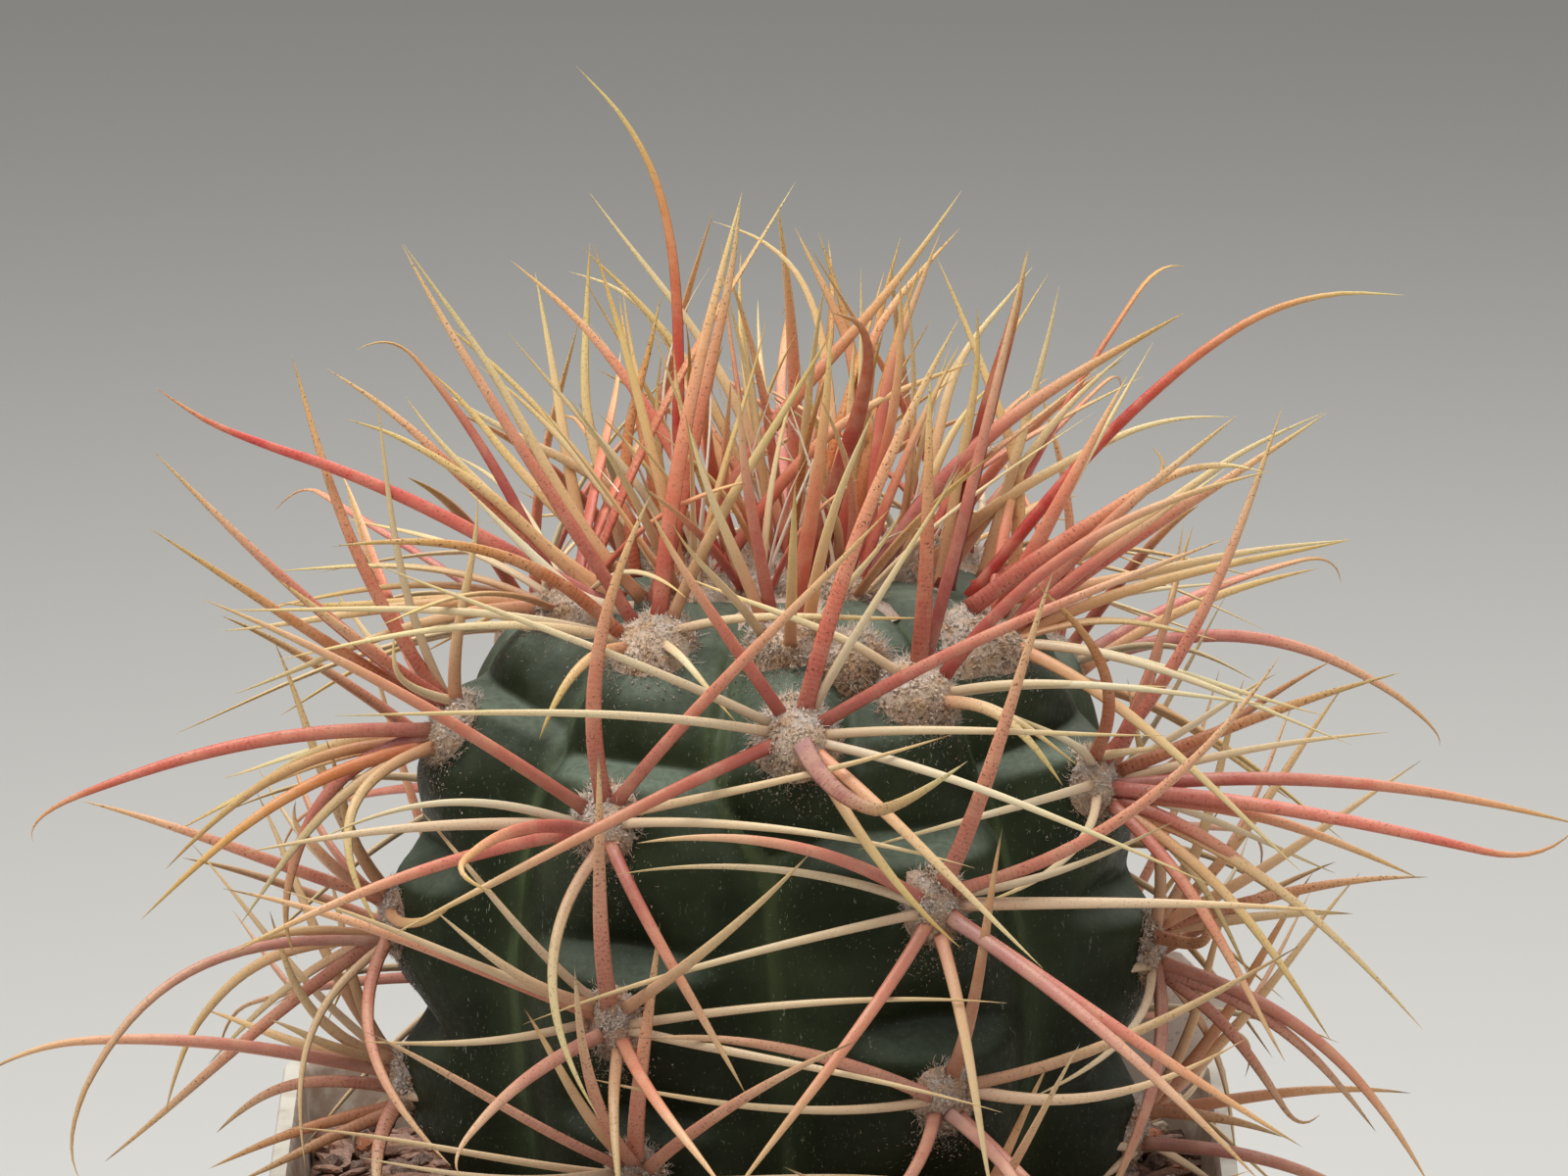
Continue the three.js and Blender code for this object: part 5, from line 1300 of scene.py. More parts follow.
wanted = [spine for number, areole in enumerate(areoles) for spine in plan_bunch(number, areole)]
wanted.sort(key=lambda spine: spine["rank"])
lines = {number: [] for number in range(len(areoles))}
left_out = 0
for spine in wanted:
    first = None
    for bend in BENDS:
        tip = np.asarray(spine["tip"]) + np.array(bend, float)
        line = spine_line(spine["root"], spine["exit_way"], spine["axes"], tip, spine["bow"], spine["hook"], STEPS)
        first = line if first is None else first
        if stands_clear(line, spine["kind"], spine["owner"], spine["rooted"]):
            break
    else:
        if not spine["must"]:
            left_out += 1
            continue
        line = first
    stand(line, spine["kind"], spine["owner"])
    lines[spine["owner"]].append((line, spine["axes"][2], spine["kind"]))
print(sum(map(len, lines.values())), "spines on the ribs,", left_out, "left out for want of room")

# %% [markdown]
# ## Building the bunches
#
# Felt and spines of one areole hold together, so each areole is one piece, as in the CAD model,
# with two materials. The felt's age grows with the way down from the apex.

# %% Bunch pieces
TUFTS = 240
STRAIGHT_HAIRS = 1500
BENT_HAIRS = 200
SHED_HAIRS = 150
CRUMBS = 60
RIB_VIVID = 0.4
RIB_VIVID_SHARE = 0.35


def how_low(at, axes, size):
    """Tells 0 for points above the middle of a cushion, up to 1 at its lower edge."""
    return lambda points: np.clip((at - points) @ axes[1] / size[1], 0.0, 1.0)


def wool_part(arrays, age, lowness=None):
    """A felt part as the joiner wants it, with its age, its painted shade and dirt, and its place on the cushion in one
    value.
    """
    part_points, part_faces, shade_and_dirt = arrays
    low = np.zeros(len(shade_and_dirt)) if lowness is None else lowness(part_points)
    wool = np.stack([np.full(len(shade_and_dirt), age), shade_and_dirt, low], axis=-1)
    return part_points, part_faces, 1, np.tile([0.5, 0.5, 0.5, 1.0], (len(shade_and_dirt), 1)), np.zeros((len(shade_and_dirt), 3)), wool


def horn_part(arrays):
    part_points, part_faces, tint, values = arrays
    return part_points, part_faces, 0, tint, values, np.zeros((len(part_points), 3))


def join_parts(parts):
    """Parts are (points, faces, look, tint, spine values, wool values). They become one piece's arrays."""
    faces, looks = [], []
    start = 0
    for part_points, part_faces, look, *_ in parts:
        faces += [tuple(start + corner for corner in face) for face in part_faces]
        looks += [look] * len(part_faces)
        start += len(part_points)
    points, tints, values, wools = (np.vstack([part[place] for part in parts]) for place in (0, 3, 4, 5))
    return points, faces, looks, dict(tint=tints, spine=values, wool=wools)


face_total = 0
for number, areole in enumerate(areoles):
    rng = np.random.default_rng(4000 + number)
    age = float(smoothstep(areole["way"], 34, 105))
    size = np.array(areole["felt"]) * (1 - 0.14 * age)
    ground = on_skin(areole, size)
    where = areole["azimuth"], areole["way"], rng
    low = how_low(areole["at"], areole["axes"], size)
    parts = [
        wool_part(mound(ground, areole["axes"][2], size, rng), age, low),
        wool_part(tufts(ground, areole["axes"], size, rng, TUFTS), age, low),
        wool_part(fuzz(ground, areole["axes"], size, rng, STRAIGHT_HAIRS, 1.5 - 0.35 * age, False), age * 0.6, low),
        wool_part(fuzz(ground, areole["axes"], size, rng, BENT_HAIRS, 2.8 - 0.9 * age, True), age * 0.3, low),
        wool_part(litter(*where, SHED_HAIRS, 0.8, 0.065, 0.0), age * 0.5),
        wool_part(litter(*where, CRUMBS, 0.4, 0.35, 1.0), 1.0),
    ]
    for line, facing, kind in lines[number]:
        vivid = RIB_VIVID if kind in ("red", "lance", "banded") and rng.random() < RIB_VIVID_SHARE else 0.0
        parts.append(horn_part(spine_tube(line, facing, kind, rng, age, vivid)))
    points, faces, looks, values = join_parts(parts)
    bunch = make_piece(f"bunch_{areole['name']}", points, faces, [horn, felt], looks, **values)
    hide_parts(f"areole_{areole['name']}")
    face_total += len(faces)
print(len(areoles), "bunches with", face_total, "faces")

# %% [markdown]
# ## Crown
#
# The apex is hidden in wool, from which the youngest spines rise in a dense bundle, crimson at
# the root and yellow at the tip. The outer ones were followed point by point in the front view.
# A seeded rule fills in the rest, and thin white ones stand between them.

# %% Crown spines followed in the front view, from tip to root, in pixels
CROWN_TRACKS = [
    ("banded", 6, [(177, 402), (184, 420), (205, 434), (260, 449), (320, 468), (380, 490), (440, 517), (500, 548),
                   (560, 583), (625, 618)]),
    ("cream", 2, [(480, 497), (510, 528), (548, 566), (604, 618), (650, 640)]),
    ("crimson", 0, [(593, 78), (628, 106), (656, 142), (676, 190), (688, 245), (695, 330), (694, 440), (692, 600)]),
    ("straw", -4, [(605, 203), (659, 276), (686, 305), (725, 359), (766, 443), (790, 515), (814, 590)]),
    ("straw", -6, [(729, 227), (757, 231), (787, 244), (814, 273), (832, 305), (844, 377), (860, 560)]),
    ("tan", -4, [(596, 255), (623, 278), (659, 317), (692, 353), (730, 419), (800, 560)]),
    ("straw", -7, [(582, 278), (617, 283), (647, 299), (677, 335), (710, 400), (770, 560)]),
    ("red", 2, [(527, 272), (557, 296), (599, 335), (629, 371), (683, 449), (713, 515), (740, 590)]),
    ("ivory", 0, [(525, 346), (551, 377), (587, 419), (617, 455), (653, 491), (710, 600)]),
    ("ivory", -3, [(493, 377), (533, 407), (569, 443), (610, 490), (680, 590)]),
    ("straw", 0, [(447, 398), (497, 428), (557, 461), (611, 485), (690, 570)]),
    ("tan", -6, [(441, 380), (480, 413), (515, 461), (560, 510), (640, 590)]),
    ("straw", 2, [(423, 410), (450, 449), (491, 491), (539, 538), (587, 580), (640, 612)]),
    ("tan", 3, [(365, 432), (408, 443), (468, 479), (521, 515), (563, 562), (620, 612)]),
    ("white", 2, [(604, 333), (629, 365), (647, 395), (665, 437), (690, 540)]),
    ("white", -2, [(724, 275), (700, 310), (672, 400), (700, 560)]),
    ("ivory", -5, [(637, 296), (644, 353), (659, 413), (671, 491), (700, 590)]),
    ("rust", -3, [(676, 304), (668, 347), (653, 401), (638, 455), (650, 590)]),
    ("upper", -4, [(812, 235), (832, 276), (851, 315), (874, 363), (880, 560)]),
    ("rust", -6, [(835, 238), (853, 293), (868, 335), (890, 560)]),
    ("rust", -8, [(919, 242), (907, 287), (892, 335), (870, 555)]),
    ("upper", -4, [(978, 201), (949, 246), (916, 287), (889, 323), (838, 377), (790, 432), (740, 505), (705, 590)]),
    ("red", 3, [(989, 374), (930, 395), (880, 418), (840, 447), (800, 490), (760, 545), (725, 600)]),
    ("red", -2, [(977, 237), (952, 264), (922, 299), (889, 335), (840, 570)]),
    ("red", 4, [(956, 245), (941, 285), (920, 340), (900, 394), (880, 600)]),
    ("straw", 0, [(955, 270), (976, 317), (999, 377), (1023, 437), (1041, 491), (1030, 590)]),
    ("straw", -6, [(1053, 273), (1011, 326), (976, 365), (930, 550)]),
    ("ember", 2, [(1043, 264), (1035, 317), (1020, 365), (1005, 413), (990, 480), (960, 600)]),
    ("ivory", -4, [(1068, 282), (1047, 317), (1023, 353), (960, 560)]),
    ("straw", 2, [(1076, 298), (1068, 341), (1056, 383), (1047, 419), (1000, 590)]),
    ("central", 6, [(1200, 325), (1155, 350), (1107, 377), (1047, 413), (993, 455), (946, 503), (880, 600)]),
    ("straw", 0, [(1149, 359), (1107, 395), (1071, 431), (1035, 485), (960, 590)]),
    ("ember", 18, [(847, 327), (858, 320), (870, 319), (883, 329), (888, 359), (880, 407), (865, 461), (844, 520),
                   (830, 605)]),
    ("crimson", 4, [(1418, 308), (1369, 296), (1298, 310), (1228, 353), (1172, 400), (1088, 479), (1050, 530),
                    (985, 610)]),
    ("straw", 2, [(1247, 428), (1209, 425), (1167, 432), (1113, 458), (1065, 485), (1017, 509), (930, 590)]),
    ("upper", 8, [(1277, 485), (1250, 474), (1220, 473), (1191, 482), (1137, 515), (1083, 550), (1029, 586),
                  (985, 622)]),
    ("straw", 4, [(1339, 425), (1256, 462), (1172, 524), (1102, 569), (1000, 605)]),
    ("straw", 0, [(1364, 552), (1256, 563), (1153, 588), (1000, 615)]),
    ("upper", 6, [(757, 210), (751, 275), (742, 317), (728, 371), (713, 437), (698, 509), (672, 615)]),
    ("straw", 2, [(421, 258), (450, 299), (485, 347), (512, 386), (539, 437), (569, 491), (611, 562), (660, 612)]),
    ("red", 0, [(345, 382), (396, 413), (438, 449), (480, 491), (515, 526), (560, 562), (640, 612)]),
    ("straw", -2, [(548, 281), (557, 329), (569, 395), (578, 455), (600, 570)]),
    ("tan", -4, [(603, 252), (600, 305), (598, 365), (597, 425), (640, 570)]),
    ("tan", 5, [(993, 320), (996, 365), (987, 425), (975, 485), (955, 600)]),
    ("red", -4, [(1170, 458), (1190, 459), (1193, 478), (1167, 502), (1080, 560), (990, 600)]),
]
print(len(CROWN_TRACKS), "crown spines were followed point by point")
# %% [markdown]
# ## Spines of the crown
#
# A point in a picture says nothing about its depth. Each followed spine gets its depth from its
# root, which must sit on the crown, and from one number that says how far its tip comes towards
# the viewer. The spines between them grow in twelve small bunches, set by the golden angle, which
# spreads them evenly as in a real plant. Each is tried until it stands nearly clear of the rest.

# %% Spines of the crown
CROWN_BUNCHES = 12
CROWN_BUNCH_SIZE = 6
CROWN_HAIRS_A_BUNCH = 5
CROWN_LENGTHS = (36.0, 50.0)
CROWN_LEAN = 24.0
CROWN_SPREAD = 19.0
CROWN_TRIES = 16
MAY_SINK_IN = -0.25
GOLDEN_ANGLE = 137.508
CROWN_KINDS = ["straw", "red", "straw", "upper", "tan", "rust", "ivory", "red", "tan"]
CROWN_TOP = 102.0
ROOTED_IN_CROWN = 7.0


def crown_track(track, reach_out):
    """A smooth line in space through pixels of the front view, from its root on the crown."""
    seen = np.array(track[::-1], float)
    right = (seen[:, 0] - AXIS_PIXEL[0]) / PIXELS_PER_MM
    upward = (AXIS_PIXEL[1] - seen[:, 1]) / PIXELS_PER_MM
    root_y = (upward[0] - CROWN_TOP * view_up[2]) / view_up[1]
    root = np.array([right[0], np.clip(root_y, -20, 20), CROWN_TOP])
    travel = np.concatenate([[0.0], np.cumsum(np.hypot(np.diff(right), np.diff(upward)))])
    depth = root @ view_out + reach_out * travel / travel[-1]
    points = right[:, None] * view_right + upward[:, None] * view_up + depth[:, None] * view_out
    points[0] = root
    even = even_line(points, 9)
    even[1:-1] = (even[:-2] + 2 * even[1:-1] + even[2:]) / 4
    return even_line(smooth_line(even, 80), STEPS + 4)


crown_lines, tuft_places = [], []
CROWN_OWNER = 1000
for order, (kind, reach_out, track) in enumerate(CROWN_TRACKS):
    line = crown_track(track, reach_out)
    stand(line, kind, CROWN_OWNER + order)
    crown_lines.append((line, view_out, kind))
rng = np.random.default_rng(77)
for bunch_number in range(CROWN_BUNCHES):
    share = math.sqrt((bunch_number + 0.4) / CROWN_BUNCHES)
    azimuth = math.radians(bunch_number * GOLDEN_ANGLE + 20)
    out = np.array([math.sin(azimuth), -math.cos(azimuth), 0.0])
    aside = np.array([math.cos(azimuth), math.sin(azimuth), 0.0])
    lean = math.radians(CROWN_LEAN * share)
    axis = out * math.sin(lean) + np.array([0.0, 0.0, math.cos(lean)])
    centre = out * CROWN_SPREAD * share + np.array([0.0, 0.0, CROWN_TOP])
    tuft_places.append((centre, np.array([aside, np.cross(axis, aside), axis])))
    for number in range(CROWN_BUNCH_SIZE + CROWN_HAIRS_A_BUNCH):
        hair = number >= CROWN_BUNCH_SIZE
        turn = math.radians(number * 360 / CROWN_BUNCH_SIZE + rng.uniform(-16, 16))
        aslant = math.cos(turn) * aside + math.sin(turn) * unit(np.cross(axis, aside))
        tilt = math.radians(rng.uniform(8, 46))
        length = np.interp(share, (0, 1), CROWN_LENGTHS) * rng.uniform(0.6, 1.14) * (0.7 if hair else 1.0)
        kind = "white" if hair else rng.choice(CROWN_KINDS)
        root = centre + aslant * rng.uniform(1.2, 2.6)
        axes = np.array([np.cross(axis, aslant), aslant, axis])
        tip = np.array([rng.uniform(-3, 3), length * math.sin(tilt), length * math.cos(tilt)])
        for bend in BENDS[:CROWN_TRIES]:
            line = spine_line(root, axis, axes, tip + bend, rng.uniform(-3, 3), (0, 0), STEPS)
            owner = CROWN_OWNER + 100 + len(crown_lines)
            if stands_clear(line, kind, owner, ROOTED_IN_CROWN, MAY_SINK_IN):
                stand(line, kind, owner)
                crown_lines.append((line, aslant, kind))
                break
print(len(crown_lines), "spines in the crown")

# %% [markdown]
# ## Wool of the crown
#
# The crown's felt is a low dome, dark with dirt and with painted shade between woolly tufts, one
# tuft at the foot of each small bunch. One more tuft beside the front has no spines of its own yet.
# Felt, tufts and spines are joined to one piece, as the crown is one body of the CAD model.

# %% Crown piece
CROWN_SEAT = 100.4
CROWN_WOOL_RISE = 3.0
TUFT_SIZE = (5.6, 5.6, 3.2)
TUFT_STRAIGHT_HAIRS = 800
TUFT_BENT_HAIRS = 220
CROWN_VIVID = 0.85
VIVID_SHARE = 0.7
VIVID_WITHIN = 22.0

# A bare woolly tuft beside the front, as azimuth and way down from the apex
BARE_TUFT = (19.0, 35.0)

rng = np.random.default_rng(55)
upright_axes = np.eye(3)
dome = on_disc(np.array([0.0, 0.0, CROWN_SEAT]), upright_axes)
dome_size = (CROWN_RADIUS, CROWN_RADIUS, CROWN_WOOL_RISE)
parts = [wool_part(mound(dome, upright_axes[2], dome_size, rng, 0.05), 1.0)]
bare = areole_at("bare", *BARE_TUFT)
grounds = [(on_disc(centre - axes[2] * 0.5, axes), centre, axes) for centre, axes in tuft_places]
grounds.append((on_skin(bare, TUFT_SIZE), bare["at"], bare["axes"]))
for ground, centre, axes in grounds:
    low = how_low(centre, axes, TUFT_SIZE)
    parts.append(wool_part(mound(ground, axes[2], TUFT_SIZE, rng), 0.0, low))
    parts.append(wool_part(tufts(ground, axes, TUFT_SIZE, rng, TUFTS), 0.0, low))
    parts.append(wool_part(fuzz(ground, axes, TUFT_SIZE, rng, TUFT_STRAIGHT_HAIRS, 2.4, False), 0.0, low))
    parts.append(wool_part(fuzz(ground, axes, TUFT_SIZE, rng, TUFT_BENT_HAIRS, 4.5, True), 0.0, low))
for line, facing, kind in crown_lines:
    inner = math.hypot(line[0][0], line[0][1]) < VIVID_WITHIN and kind in ("red", "upper", "straw")
    vivid = CROWN_VIVID if inner and rng.random() < VIVID_SHARE else 0.0
    parts.append(horn_part(spine_tube(line, facing, kind, rng, 0.0, vivid)))
points, faces, looks, values = join_parts(parts)
crown = make_piece("crown_bundle", points, faces, [horn, felt], looks, **values)
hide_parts("crown")
print("crown", len(faces), "faces")

# %% [markdown]
# ## Soil
#
# The pot is filled with coarse grit: pinkish and grey stone, some white and some orange, and
# slivers of bark. A bed with an uneven top closes the filling. On it lie single chips, each a
# ball of eighty faces that is squashed, dented and turned at random, with its own tint.

# %% Soil bed
POT_SIDE = 142.0
POT_FOOT_SIDE = 108.0
POT_HEIGHT = 124.0
POT_WALL = 2.0
POT_FLOOR = 2.4
COLLAR_HEIGHT = 13.0
COLLAR_STEP = 1.2
POT_CORNER = 7.0
GAP = 0.35


def wall_side(height):
    """Outer side of the pot's wall at a height over the floor it stands on."""
    top = POT_SIDE - 2 * COLLAR_STEP
    return POT_FOOT_SIDE + (top - POT_FOOT_SIDE) * height / POT_HEIGHT


def inner_side(height):
    return wall_side(height) - 2 * POT_WALL


def square_ring(side, corner, height, steps=9):
    """A square with round corners, centred on the pot, as seen from the plant's own zero."""
    flat = side / 2 - corner
    ring = []
    for quarter in range(4):
        middle = math.radians(quarter * 90 + 45)
        for step in range(steps + 1):
            angle = math.radians(quarter * 90 + 90 * step / steps)
            x = math.sqrt(2) * flat * math.cos(middle) + corner * math.cos(angle)
            y = math.sqrt(2) * flat * math.sin(middle) + corner * math.sin(angle)
            ring.append((x - PLANT_X, y, height - SOIL_LEVEL))
    return ring


BED_CELLS = 96
BED_WAVES = [(0.9, 5.0, 3), (0.6, 2.0, 4)]
bed_side = inner_side(SOIL_LEVEL) - 2 * GAP
grid = np.linspace(-1, 1, BED_CELLS + 1)
gx, gy = np.meshgrid(grid, grid, indexing="ij")
squarer = 1 - 0.028 * (np.abs(gx) ** 8) * (np.abs(gy) ** 8)
bed_x = gx * bed_side / 2 * squarer - PLANT_X
bed_y = gy * bed_side / 2 * squarer
bed_top = np.stack([bed_x.ravel(), bed_y.ravel(), np.zeros(bed_x.size)], axis=-1)
bed_top[:, 2] = sum(depth * ripple(bed_top, width, seed) for depth, width, seed in BED_WAVES) - 0.3
bed_foot_scale = (inner_side(POT_FLOOR + GAP) - 2 * GAP) / bed_side
bed_foot = bed_top * np.array([bed_foot_scale, bed_foot_scale, 0.0])
bed_foot[:, 0] += PLANT_X * (bed_foot_scale - 1)
bed_foot[:, 2] = POT_FLOOR + GAP - SOIL_LEVEL
index = np.arange((BED_CELLS + 1) ** 2).reshape(BED_CELLS + 1, BED_CELLS + 1)
quads = np.stack([index[:-1, :-1], index[1:, :-1], index[1:, 1:], index[:-1, 1:]], axis=-1).reshape(-1, 4)
edge = [*index[:-1, 0], *index[-1, :-1], *index[:0:-1, -1], *index[0, :0:-1]]
foot_start = len(bed_top)
bed_points = np.vstack([bed_top, bed_foot[edge]])
bed_faces = quads.tolist()
for i, at in enumerate(edge):
    after = (i + 1) % len(edge)
    bed_faces.append((edge[after], at, foot_start + i, foot_start + after))
bed_faces.append(tuple(foot_start + i for i in range(len(edge) - 1, -1, -1)))
print("soil bed", len(bed_faces), "faces")

# %% [markdown]
# ## Grit and bark chips
#
# Every chip starts as the same small ball, which is stretched, dented and turned. Bark chips are
# long and flat and lie down, stones are rounder. A chip that would stand inside the barrel is
# tried again elsewhere.

# %% Grit and bark chips
CHIP_TINTS = [
    ((176, 132, 110), 5), ((150, 112, 94), 5), ((128, 104, 92), 4), ((206, 188, 168), 2), ((196, 120, 82), 2),
    ((96, 66, 50), 4), ((160, 150, 140), 2), ((118, 78, 56), 3), ((168, 132, 116), 6),
]
BARK = (1, 5, 7, 8)
CHIPS = 1700
CLEAR_OF_PLANT = 36
rng = np.random.default_rng(321)
ball = bmesh.new()
bmesh.ops.create_icosphere(ball, subdivisions=2, radius=1.0)
ball_points = np.array([vertex.co[:] for vertex in ball.verts])
ball_faces = [tuple(vertex.index for vertex in face.verts) for face in ball.faces]
ball.free()
weights = np.array([weight for _, weight in CHIP_TINTS], float)
palette = np.array([srgb(*colour) for colour, _ in CHIP_TINTS])
chip_points, chip_faces, chip_tints = [], [], []
while len(chip_points) < CHIPS:
    x, y = rng.uniform(-bed_side / 2 + 1.5, bed_side / 2 - 1.5, 2)
    at = np.array([x - PLANT_X, y, 0.0])
    away = math.hypot(at[0], at[1])
    if away < CLEAR_OF_PLANT or min(abs(x), abs(y)) > bed_side / 2 - 5:
        continue
    choice = rng.choice(len(CHIP_TINTS), p=weights / weights.sum())
    bark = choice in BARK
    size = rng.uniform(0.9, 1.9) * (1.35 if rng.random() < 0.14 else 1.0)
    stretch = np.array([2.0, 0.85, 0.4]) if bark else rng.uniform(0.65, 1.15, 3)
    if away < skin_radius(np.array([[at[0], at[1], 2.0]]))[0] + size * 0.4:
        continue
    dents = 1 + rng.normal(0, 0.13, len(ball_points))
    turn, _ = np.linalg.qr(rng.normal(0, 1, (3, 3)))
    if bark:
        turn[:, 2] = unit(turn[:, 2] * np.array([0.35, 0.35, 1.0]) + np.array([0, 0, 0.9]))
        turn[:, 0] = unit(np.cross(turn[:, 1], turn[:, 2]))
        turn[:, 1] = np.cross(turn[:, 2], turn[:, 0])
    at[2] = rng.uniform(-0.2, 1.5) * size * 0.7
    chip_faces += [tuple(len(chip_points) * len(ball_points) + corner for corner in face) for face in ball_faces]
    chip_points.append(at + (ball_points * dents[:, None] * stretch * size) @ turn.T)
    tint = palette[choice] * rng.uniform(0.75, 1.2)
    tint[3] = 1.0
    chip_tints.append(np.tile(tint, (len(ball_points), 1)))
print(len(chip_points), "chips")

# %% [markdown]
# ## Soil materials
#
# The bed is dark and damp-looking between the chips. The chips take the tint that lies on their
# points, broken up by a fine noise so that no two faces are alike, and are dull all over.

# %% Soil materials and pieces
earth, tree, shader = new_material("soil_bed")
place = place_in_mm(tree)
crumbs = noise_over(tree, place, 0.8, 5.0, 0.65)
colour = blend_colours(tree, between(tree, crumbs, 0.3, 0.7), srgb(62, 46, 38), srgb(132, 100, 82))
tree.links.new(colour, shader.inputs["Base Color"])
shader.inputs["Roughness"].default_value = 0.95
tree.links.new(relief(tree, crumbs, 0.8), shader.inputs["Normal"])

grit, tree, shader = new_material("grit_and_bark")
place = place_in_mm(tree)
tint = tree.nodes.new("ShaderNodeAttribute")
tint.attribute_name = "tint"
mottle = noise_over(tree, place, 1.1, 4.0, 0.65)
colour = blend_colours(tree, between(tree, mottle, 0.35, 0.65, 0.55, 0.0), tint.outputs["Color"], srgb(92, 70, 58))
dust = between(tree, noise_over(tree, place, 3.5, 2.0), 0.58, 0.7, 0.0, 0.5)
colour = blend_colours(tree, dust, colour, srgb(206, 190, 172))
tree.links.new(colour, shader.inputs["Base Color"])
shader.inputs["Roughness"].default_value = 0.88
tree.links.new(relief(tree, mottle, 0.35), shader.inputs["Normal"])

bed = make_piece("soil_bed", bed_points, bed_faces, [earth])
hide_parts("soil")
tints = np.vstack(chip_tints)
chips = make_piece("grit_chips", np.vstack(chip_points), chip_faces, [grit], smooth=False, tint=tints)
print("soil_bed", len(bed.data.polygons), "and grit_chips", len(chips.data.polygons), "faces")

# %% [markdown]
# ## Pot
#
# The pot is thin moulded plastic: tapered walls with round corners, a stiffening collar under a
# rounded rim, and a flat foot with four drain holes. Its outline is a square ring with round
# corners, repeated up the outside, over the rim and down the inside, which gives one closed
# wall. The drain holes are cut later.

# %% Pot mesh
collar_foot = POT_HEIGHT - COLLAR_HEIGHT
profile = [
    (wall_side(0) - 3.0, 0.0), (wall_side(0) - 0.8, 0.4), (wall_side(1.6), 1.6), (wall_side(30), 30),
    (wall_side(70), 70), (wall_side(collar_foot) - 0.1, collar_foot - 0.8),
    (wall_side(collar_foot) + 0.3, collar_foot - 0.1),
    (POT_SIDE - 1.0, collar_foot + 0.3), (POT_SIDE - 0.5, collar_foot + 1.0), (POT_SIDE - 0.1, POT_HEIGHT - 1.4),
    (POT_SIDE - 0.2, POT_HEIGHT - 0.6), (POT_SIDE - 0.9, POT_HEIGHT), (inner_side(POT_HEIGHT) + 1.2, POT_HEIGHT),
    (inner_side(POT_HEIGHT) + 0.3, POT_HEIGHT - 0.5), (inner_side(POT_HEIGHT - 1.5), POT_HEIGHT - 1.5),
    (inner_side(80), 80), (inner_side(40), 40), (inner_side(POT_FLOOR + 1.5), POT_FLOOR + 1.5),
    (inner_side(POT_FLOOR) - 1.5, POT_FLOOR),
]
rings = [square_ring(side, POT_CORNER * side / POT_SIDE, height) for side, height in profile]
around = len(rings[0])
pot_points = np.array([point for ring in rings for point in ring])
pot_faces = ring_faces(len(rings), around)
pot_faces.append(tuple(range(around - 1, -1, -1)))
pot_faces.append(tuple(range(len(pot_points) - around, len(pot_points))))
print("pot wall", len(rings), "rings of", around, "points")

# %% [markdown]
# ## Pot plastic
#
# The plastic is off-white and lets a little light through. Watering leaves its marks: splashes of
# soil under the rim and grime near the foot. The inner side is darkened brown, partly as soil
# staining and partly as painted shade. The inner side is found by comparing a face's normal with
# the way out from the middle, so one mesh is enough.

# %% Pot material
plastic, tree, shader = new_material("pot_plastic")
place = place_in_mm(tree)
cloud = noise_over(tree, place, 0.035, 4.0)
colour = blend_colours(tree, cloud, srgb(222, 218, 206), srgb(204, 199, 185))
height = add(tree, "ShaderNodeSeparateXYZ", {0: place}).outputs["Z"]
spots = between(tree, noise_over(tree, place, 0.16, 5.0), 0.44, 0.7)
splash = calculate(tree, "MULTIPLY", between(tree, height, 108.0, 121.0), spots)
colour = blend_colours(tree, calculate(tree, "MULTIPLY", splash, 0.55), colour, srgb(168, 142, 122))
outer = add(tree, "ShaderNodeVectorMath", {0: place, 1: (1.0, 1.0, 0.0)}, operation="MULTIPLY").outputs[0]
normal = tree.nodes.new("ShaderNodeNewGeometry").outputs["Normal"]
turned_in = add(tree, "ShaderNodeVectorMath", {0: outer, 1: normal}, operation="DOT_PRODUCT").outputs["Value"]
# Painted shade on the inner side of the wall, in patches, partly real soil staining
inner_patches = between(tree, noise_over(tree, place, 0.3, 4.0), 0.3, 0.6, 0.3, 0.75)
stain_and_painted_shade = calculate(tree, "MULTIPLY", between(tree, turned_in, 0.0, -20.0), inner_patches)
colour = blend_colours(tree, stain_and_painted_shade, colour, srgb(142, 112, 92))
smears = between(tree, noise_over(tree, place, 0.22, 5.0), 0.4, 0.7)
grime = calculate(tree, "MULTIPLY", between(tree, height, 16.0, 0.0), smears)
colour = blend_colours(tree, calculate(tree, "MULTIPLY", grime, 0.4), colour, srgb(150, 134, 116))
flecks = between(tree, noise_over(tree, place, 1.1, 2.0), 0.7, 0.74, 0.0, 0.5)
colour = blend_colours(tree, flecks, colour, srgb(150, 128, 110))
tree.links.new(colour, shader.inputs["Base Color"])
tree.links.new(between(tree, cloud, 0.3, 0.7, 0.38, 0.52), shader.inputs["Roughness"])
shader.inputs["Subsurface Weight"].default_value = 0.1
shader.inputs["Subsurface Radius"].default_value = (1.0, 0.9, 0.75)
shader.inputs["Subsurface Scale"].default_value = 0.002
tree.links.new(relief(tree, noise_over(tree, place, 1.6, 3.0), 0.03), shader.inputs["Normal"])
print("pot_plastic has", len(tree.nodes), "nodes")

# %% [markdown]
# ## Drain holes
#
# A boolean cuts each drain hole: a cylinder is made, taken away from the pot and removed. The
# result is kept as a plain mesh, so that the piece needs no modifier later. Edges sharper than 32
# degrees stay sharp, and all others are shaded smooth.

# %% Pot piece with its drain holes
DRAIN_HOLE = 7.0
DRAIN_SPREAD = 34.0
SHARP_FROM = math.radians(32)

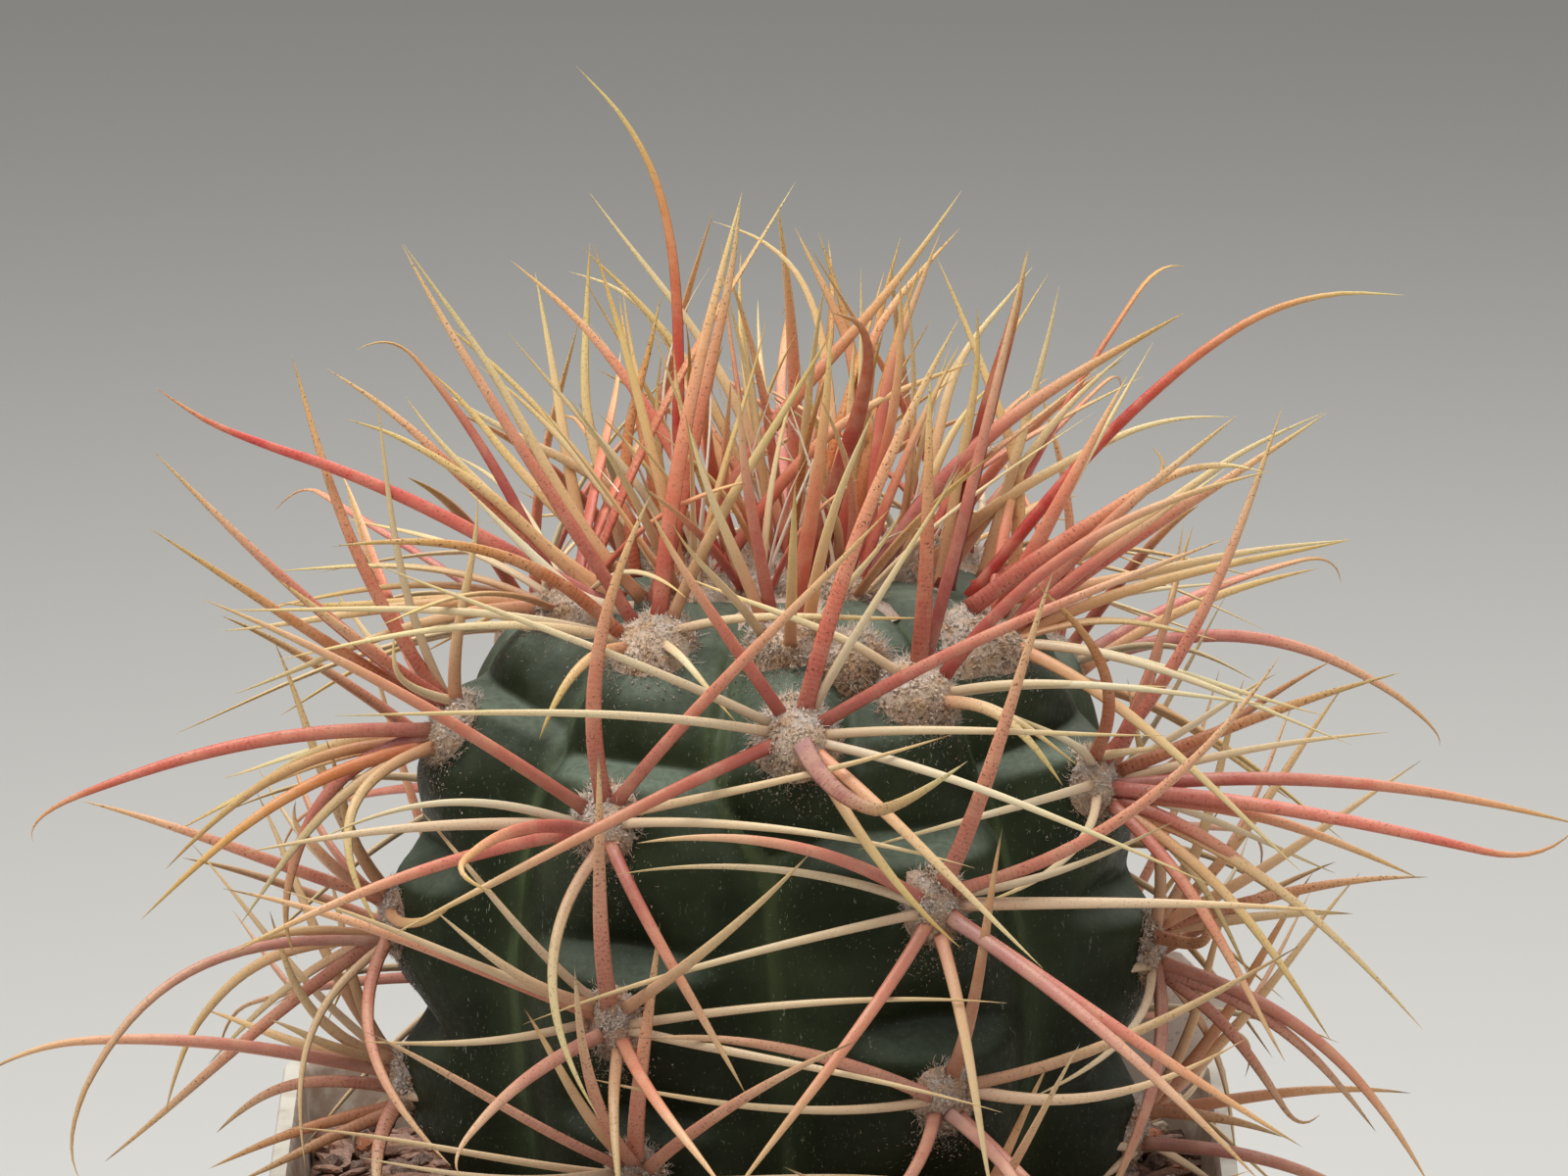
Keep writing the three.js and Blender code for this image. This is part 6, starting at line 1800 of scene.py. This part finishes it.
pot = make_piece("pot_moulded", pot_points, pot_faces, [plastic])
for sx, sy in ((-1, -1), (1, -1), (1, 1), (-1, 1)):
    drill = bmesh.new()
    radii = dict(radius1=DRAIN_HOLE / 2, radius2=DRAIN_HOLE / 2)
    bmesh.ops.create_cone(drill, segments=32, depth=20.0, cap_ends=True, **radii)
    bmesh.ops.translate(drill, verts=drill.verts, vec=(sx * DRAIN_SPREAD, sy * DRAIN_SPREAD, 0.0))
    bmesh.ops.scale(drill, verts=drill.verts, vec=(MM, MM, MM))
    cutter = bpy.data.objects.new("drill", bpy.data.meshes.new("drill"))
    drill.to_mesh(cutter.data)
    drill.free()
    bpy.context.scene.collection.objects.link(cutter)
    hole = pot.modifiers.new("hole", "BOOLEAN")
    hole.object = cutter
    hole.operation = "DIFFERENCE"
    hole.solver = "EXACT"
    shown = pot.evaluated_get(bpy.context.evaluated_depsgraph_get())
    drilled = bpy.data.meshes.new_from_object(shown)
    pot.modifiers.clear()
    pot.data = drilled
    bpy.data.objects.remove(cutter)
pot.data.name = "pot_moulded"
pot.data.set_sharp_from_angle(angle=SHARP_FROM)
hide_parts("pot")
print("pot", len(pot.data.polygons), "faces, with four drain holes")

# %% [markdown]
# ## Label
#
# A plain plant label leans out of the grit behind the plant. It is a strip of thin plastic with
# round upper corners, slightly curved over its width and bent along its length, as thin plastic
# is after some summers.

# %% Label piece
LABEL_WIDTH = 13.5
LABEL_THICK = 0.9
LABEL_LENGTH = 62.6
LABEL_LEAN = math.radians(45.0)
LABEL_BURIED = 24.0
LABEL_FOOT = np.array([37.3, 52.0, 0.0])
LABEL_CORNER = 1.6

label_axis = np.array([math.sin(LABEL_LEAN), 0.0, math.cos(LABEL_LEAN)])
label_side = np.array([math.cos(LABEL_LEAN), 0.0, -math.sin(LABEL_LEAN)])
label_front = np.array([0.0, -1.0, 0.0])
corner_turn = np.sin(np.linspace(0.2, math.pi / 2, 7))
straight = np.linspace(0, LABEL_LENGTH - LABEL_CORNER, 22)
stations = np.concatenate([straight, LABEL_LENGTH - LABEL_CORNER * (1 - corner_turn)])
label_points = []
for station in stations:
    into = max(0.0, station - (LABEL_LENGTH - LABEL_CORNER))
    half = LABEL_WIDTH / 2 - LABEL_CORNER + math.sqrt(max(LABEL_CORNER**2 - into**2, 0.0))
    across = np.concatenate([np.linspace(-1, 1, 9), np.linspace(1, -1, 9)]) * half
    over = np.concatenate([np.full(9, 0.5), np.full(9, -0.5)]) * LABEL_THICK
    over[[0, 8, 9, 17]] *= 0.45
    camber = 0.5 * (1 - (across / (LABEL_WIDTH / 2)) ** 2) - 0.25
    bend = 0.6 * (station / LABEL_LENGTH) ** 2
    middle = LABEL_FOOT + label_axis * (station - LABEL_BURIED)
    for side, front in zip(across, over + camber + bend):
        label_points.append(middle + label_side * side + label_front * front)
label_faces = ring_faces(len(stations), 18)
label_faces.append(tuple(range(17, -1, -1)))
label_faces.append(tuple(range(len(label_points) - 18, len(label_points))))
print("label", len(label_points), "points")

# %% [markdown]
# ## Label plastic
#
# The label was white once. Sun and soil have turned it a warm pale grey, cloudy in large patches,
# with small brown scuffs. It bears no writing, so two noises are all that it needs.

# %% Label material and piece
strip, tree, shader = new_material("label_plastic")
place = place_in_mm(tree)
cloud = noise_over(tree, place, 0.12, 4.0)
colour = blend_colours(tree, between(tree, cloud, 0.35, 0.7), srgb(238, 224, 212), srgb(218, 198, 184))
scuffs = between(tree, noise_over(tree, place, 0.9, 3.0), 0.6, 0.72, 0.0, 0.5)
colour = blend_colours(tree, scuffs, colour, srgb(150, 128, 112))
tree.links.new(colour, shader.inputs["Base Color"])
shader.inputs["Roughness"].default_value = 0.5

label = make_piece("label_strip", label_points, label_faces, [strip])
label.data.set_sharp_from_angle(angle=math.radians(40))
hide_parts("label")
print("label_strip", len(label.data.polygons), "faces")

# %% [markdown]
# ## Colours on screen and the size
#
# The standard view transform shows colours as they were chosen. One like a film's would soften
# highlights, but it would also pale the reds of the spines.

# %% View transform, size and finish
bpy.context.scene.view_settings.view_transform = "Standard"
bpy.context.scene.view_settings.exposure = 0.0

meshes = [o.data for o in bpy.data.objects if o.type == "MESH"]
triangles = sum(len(face.vertices) - 2 for mesh in meshes for face in mesh.polygons)
print("triangles in the scene, with those of the CAD model:", triangles)
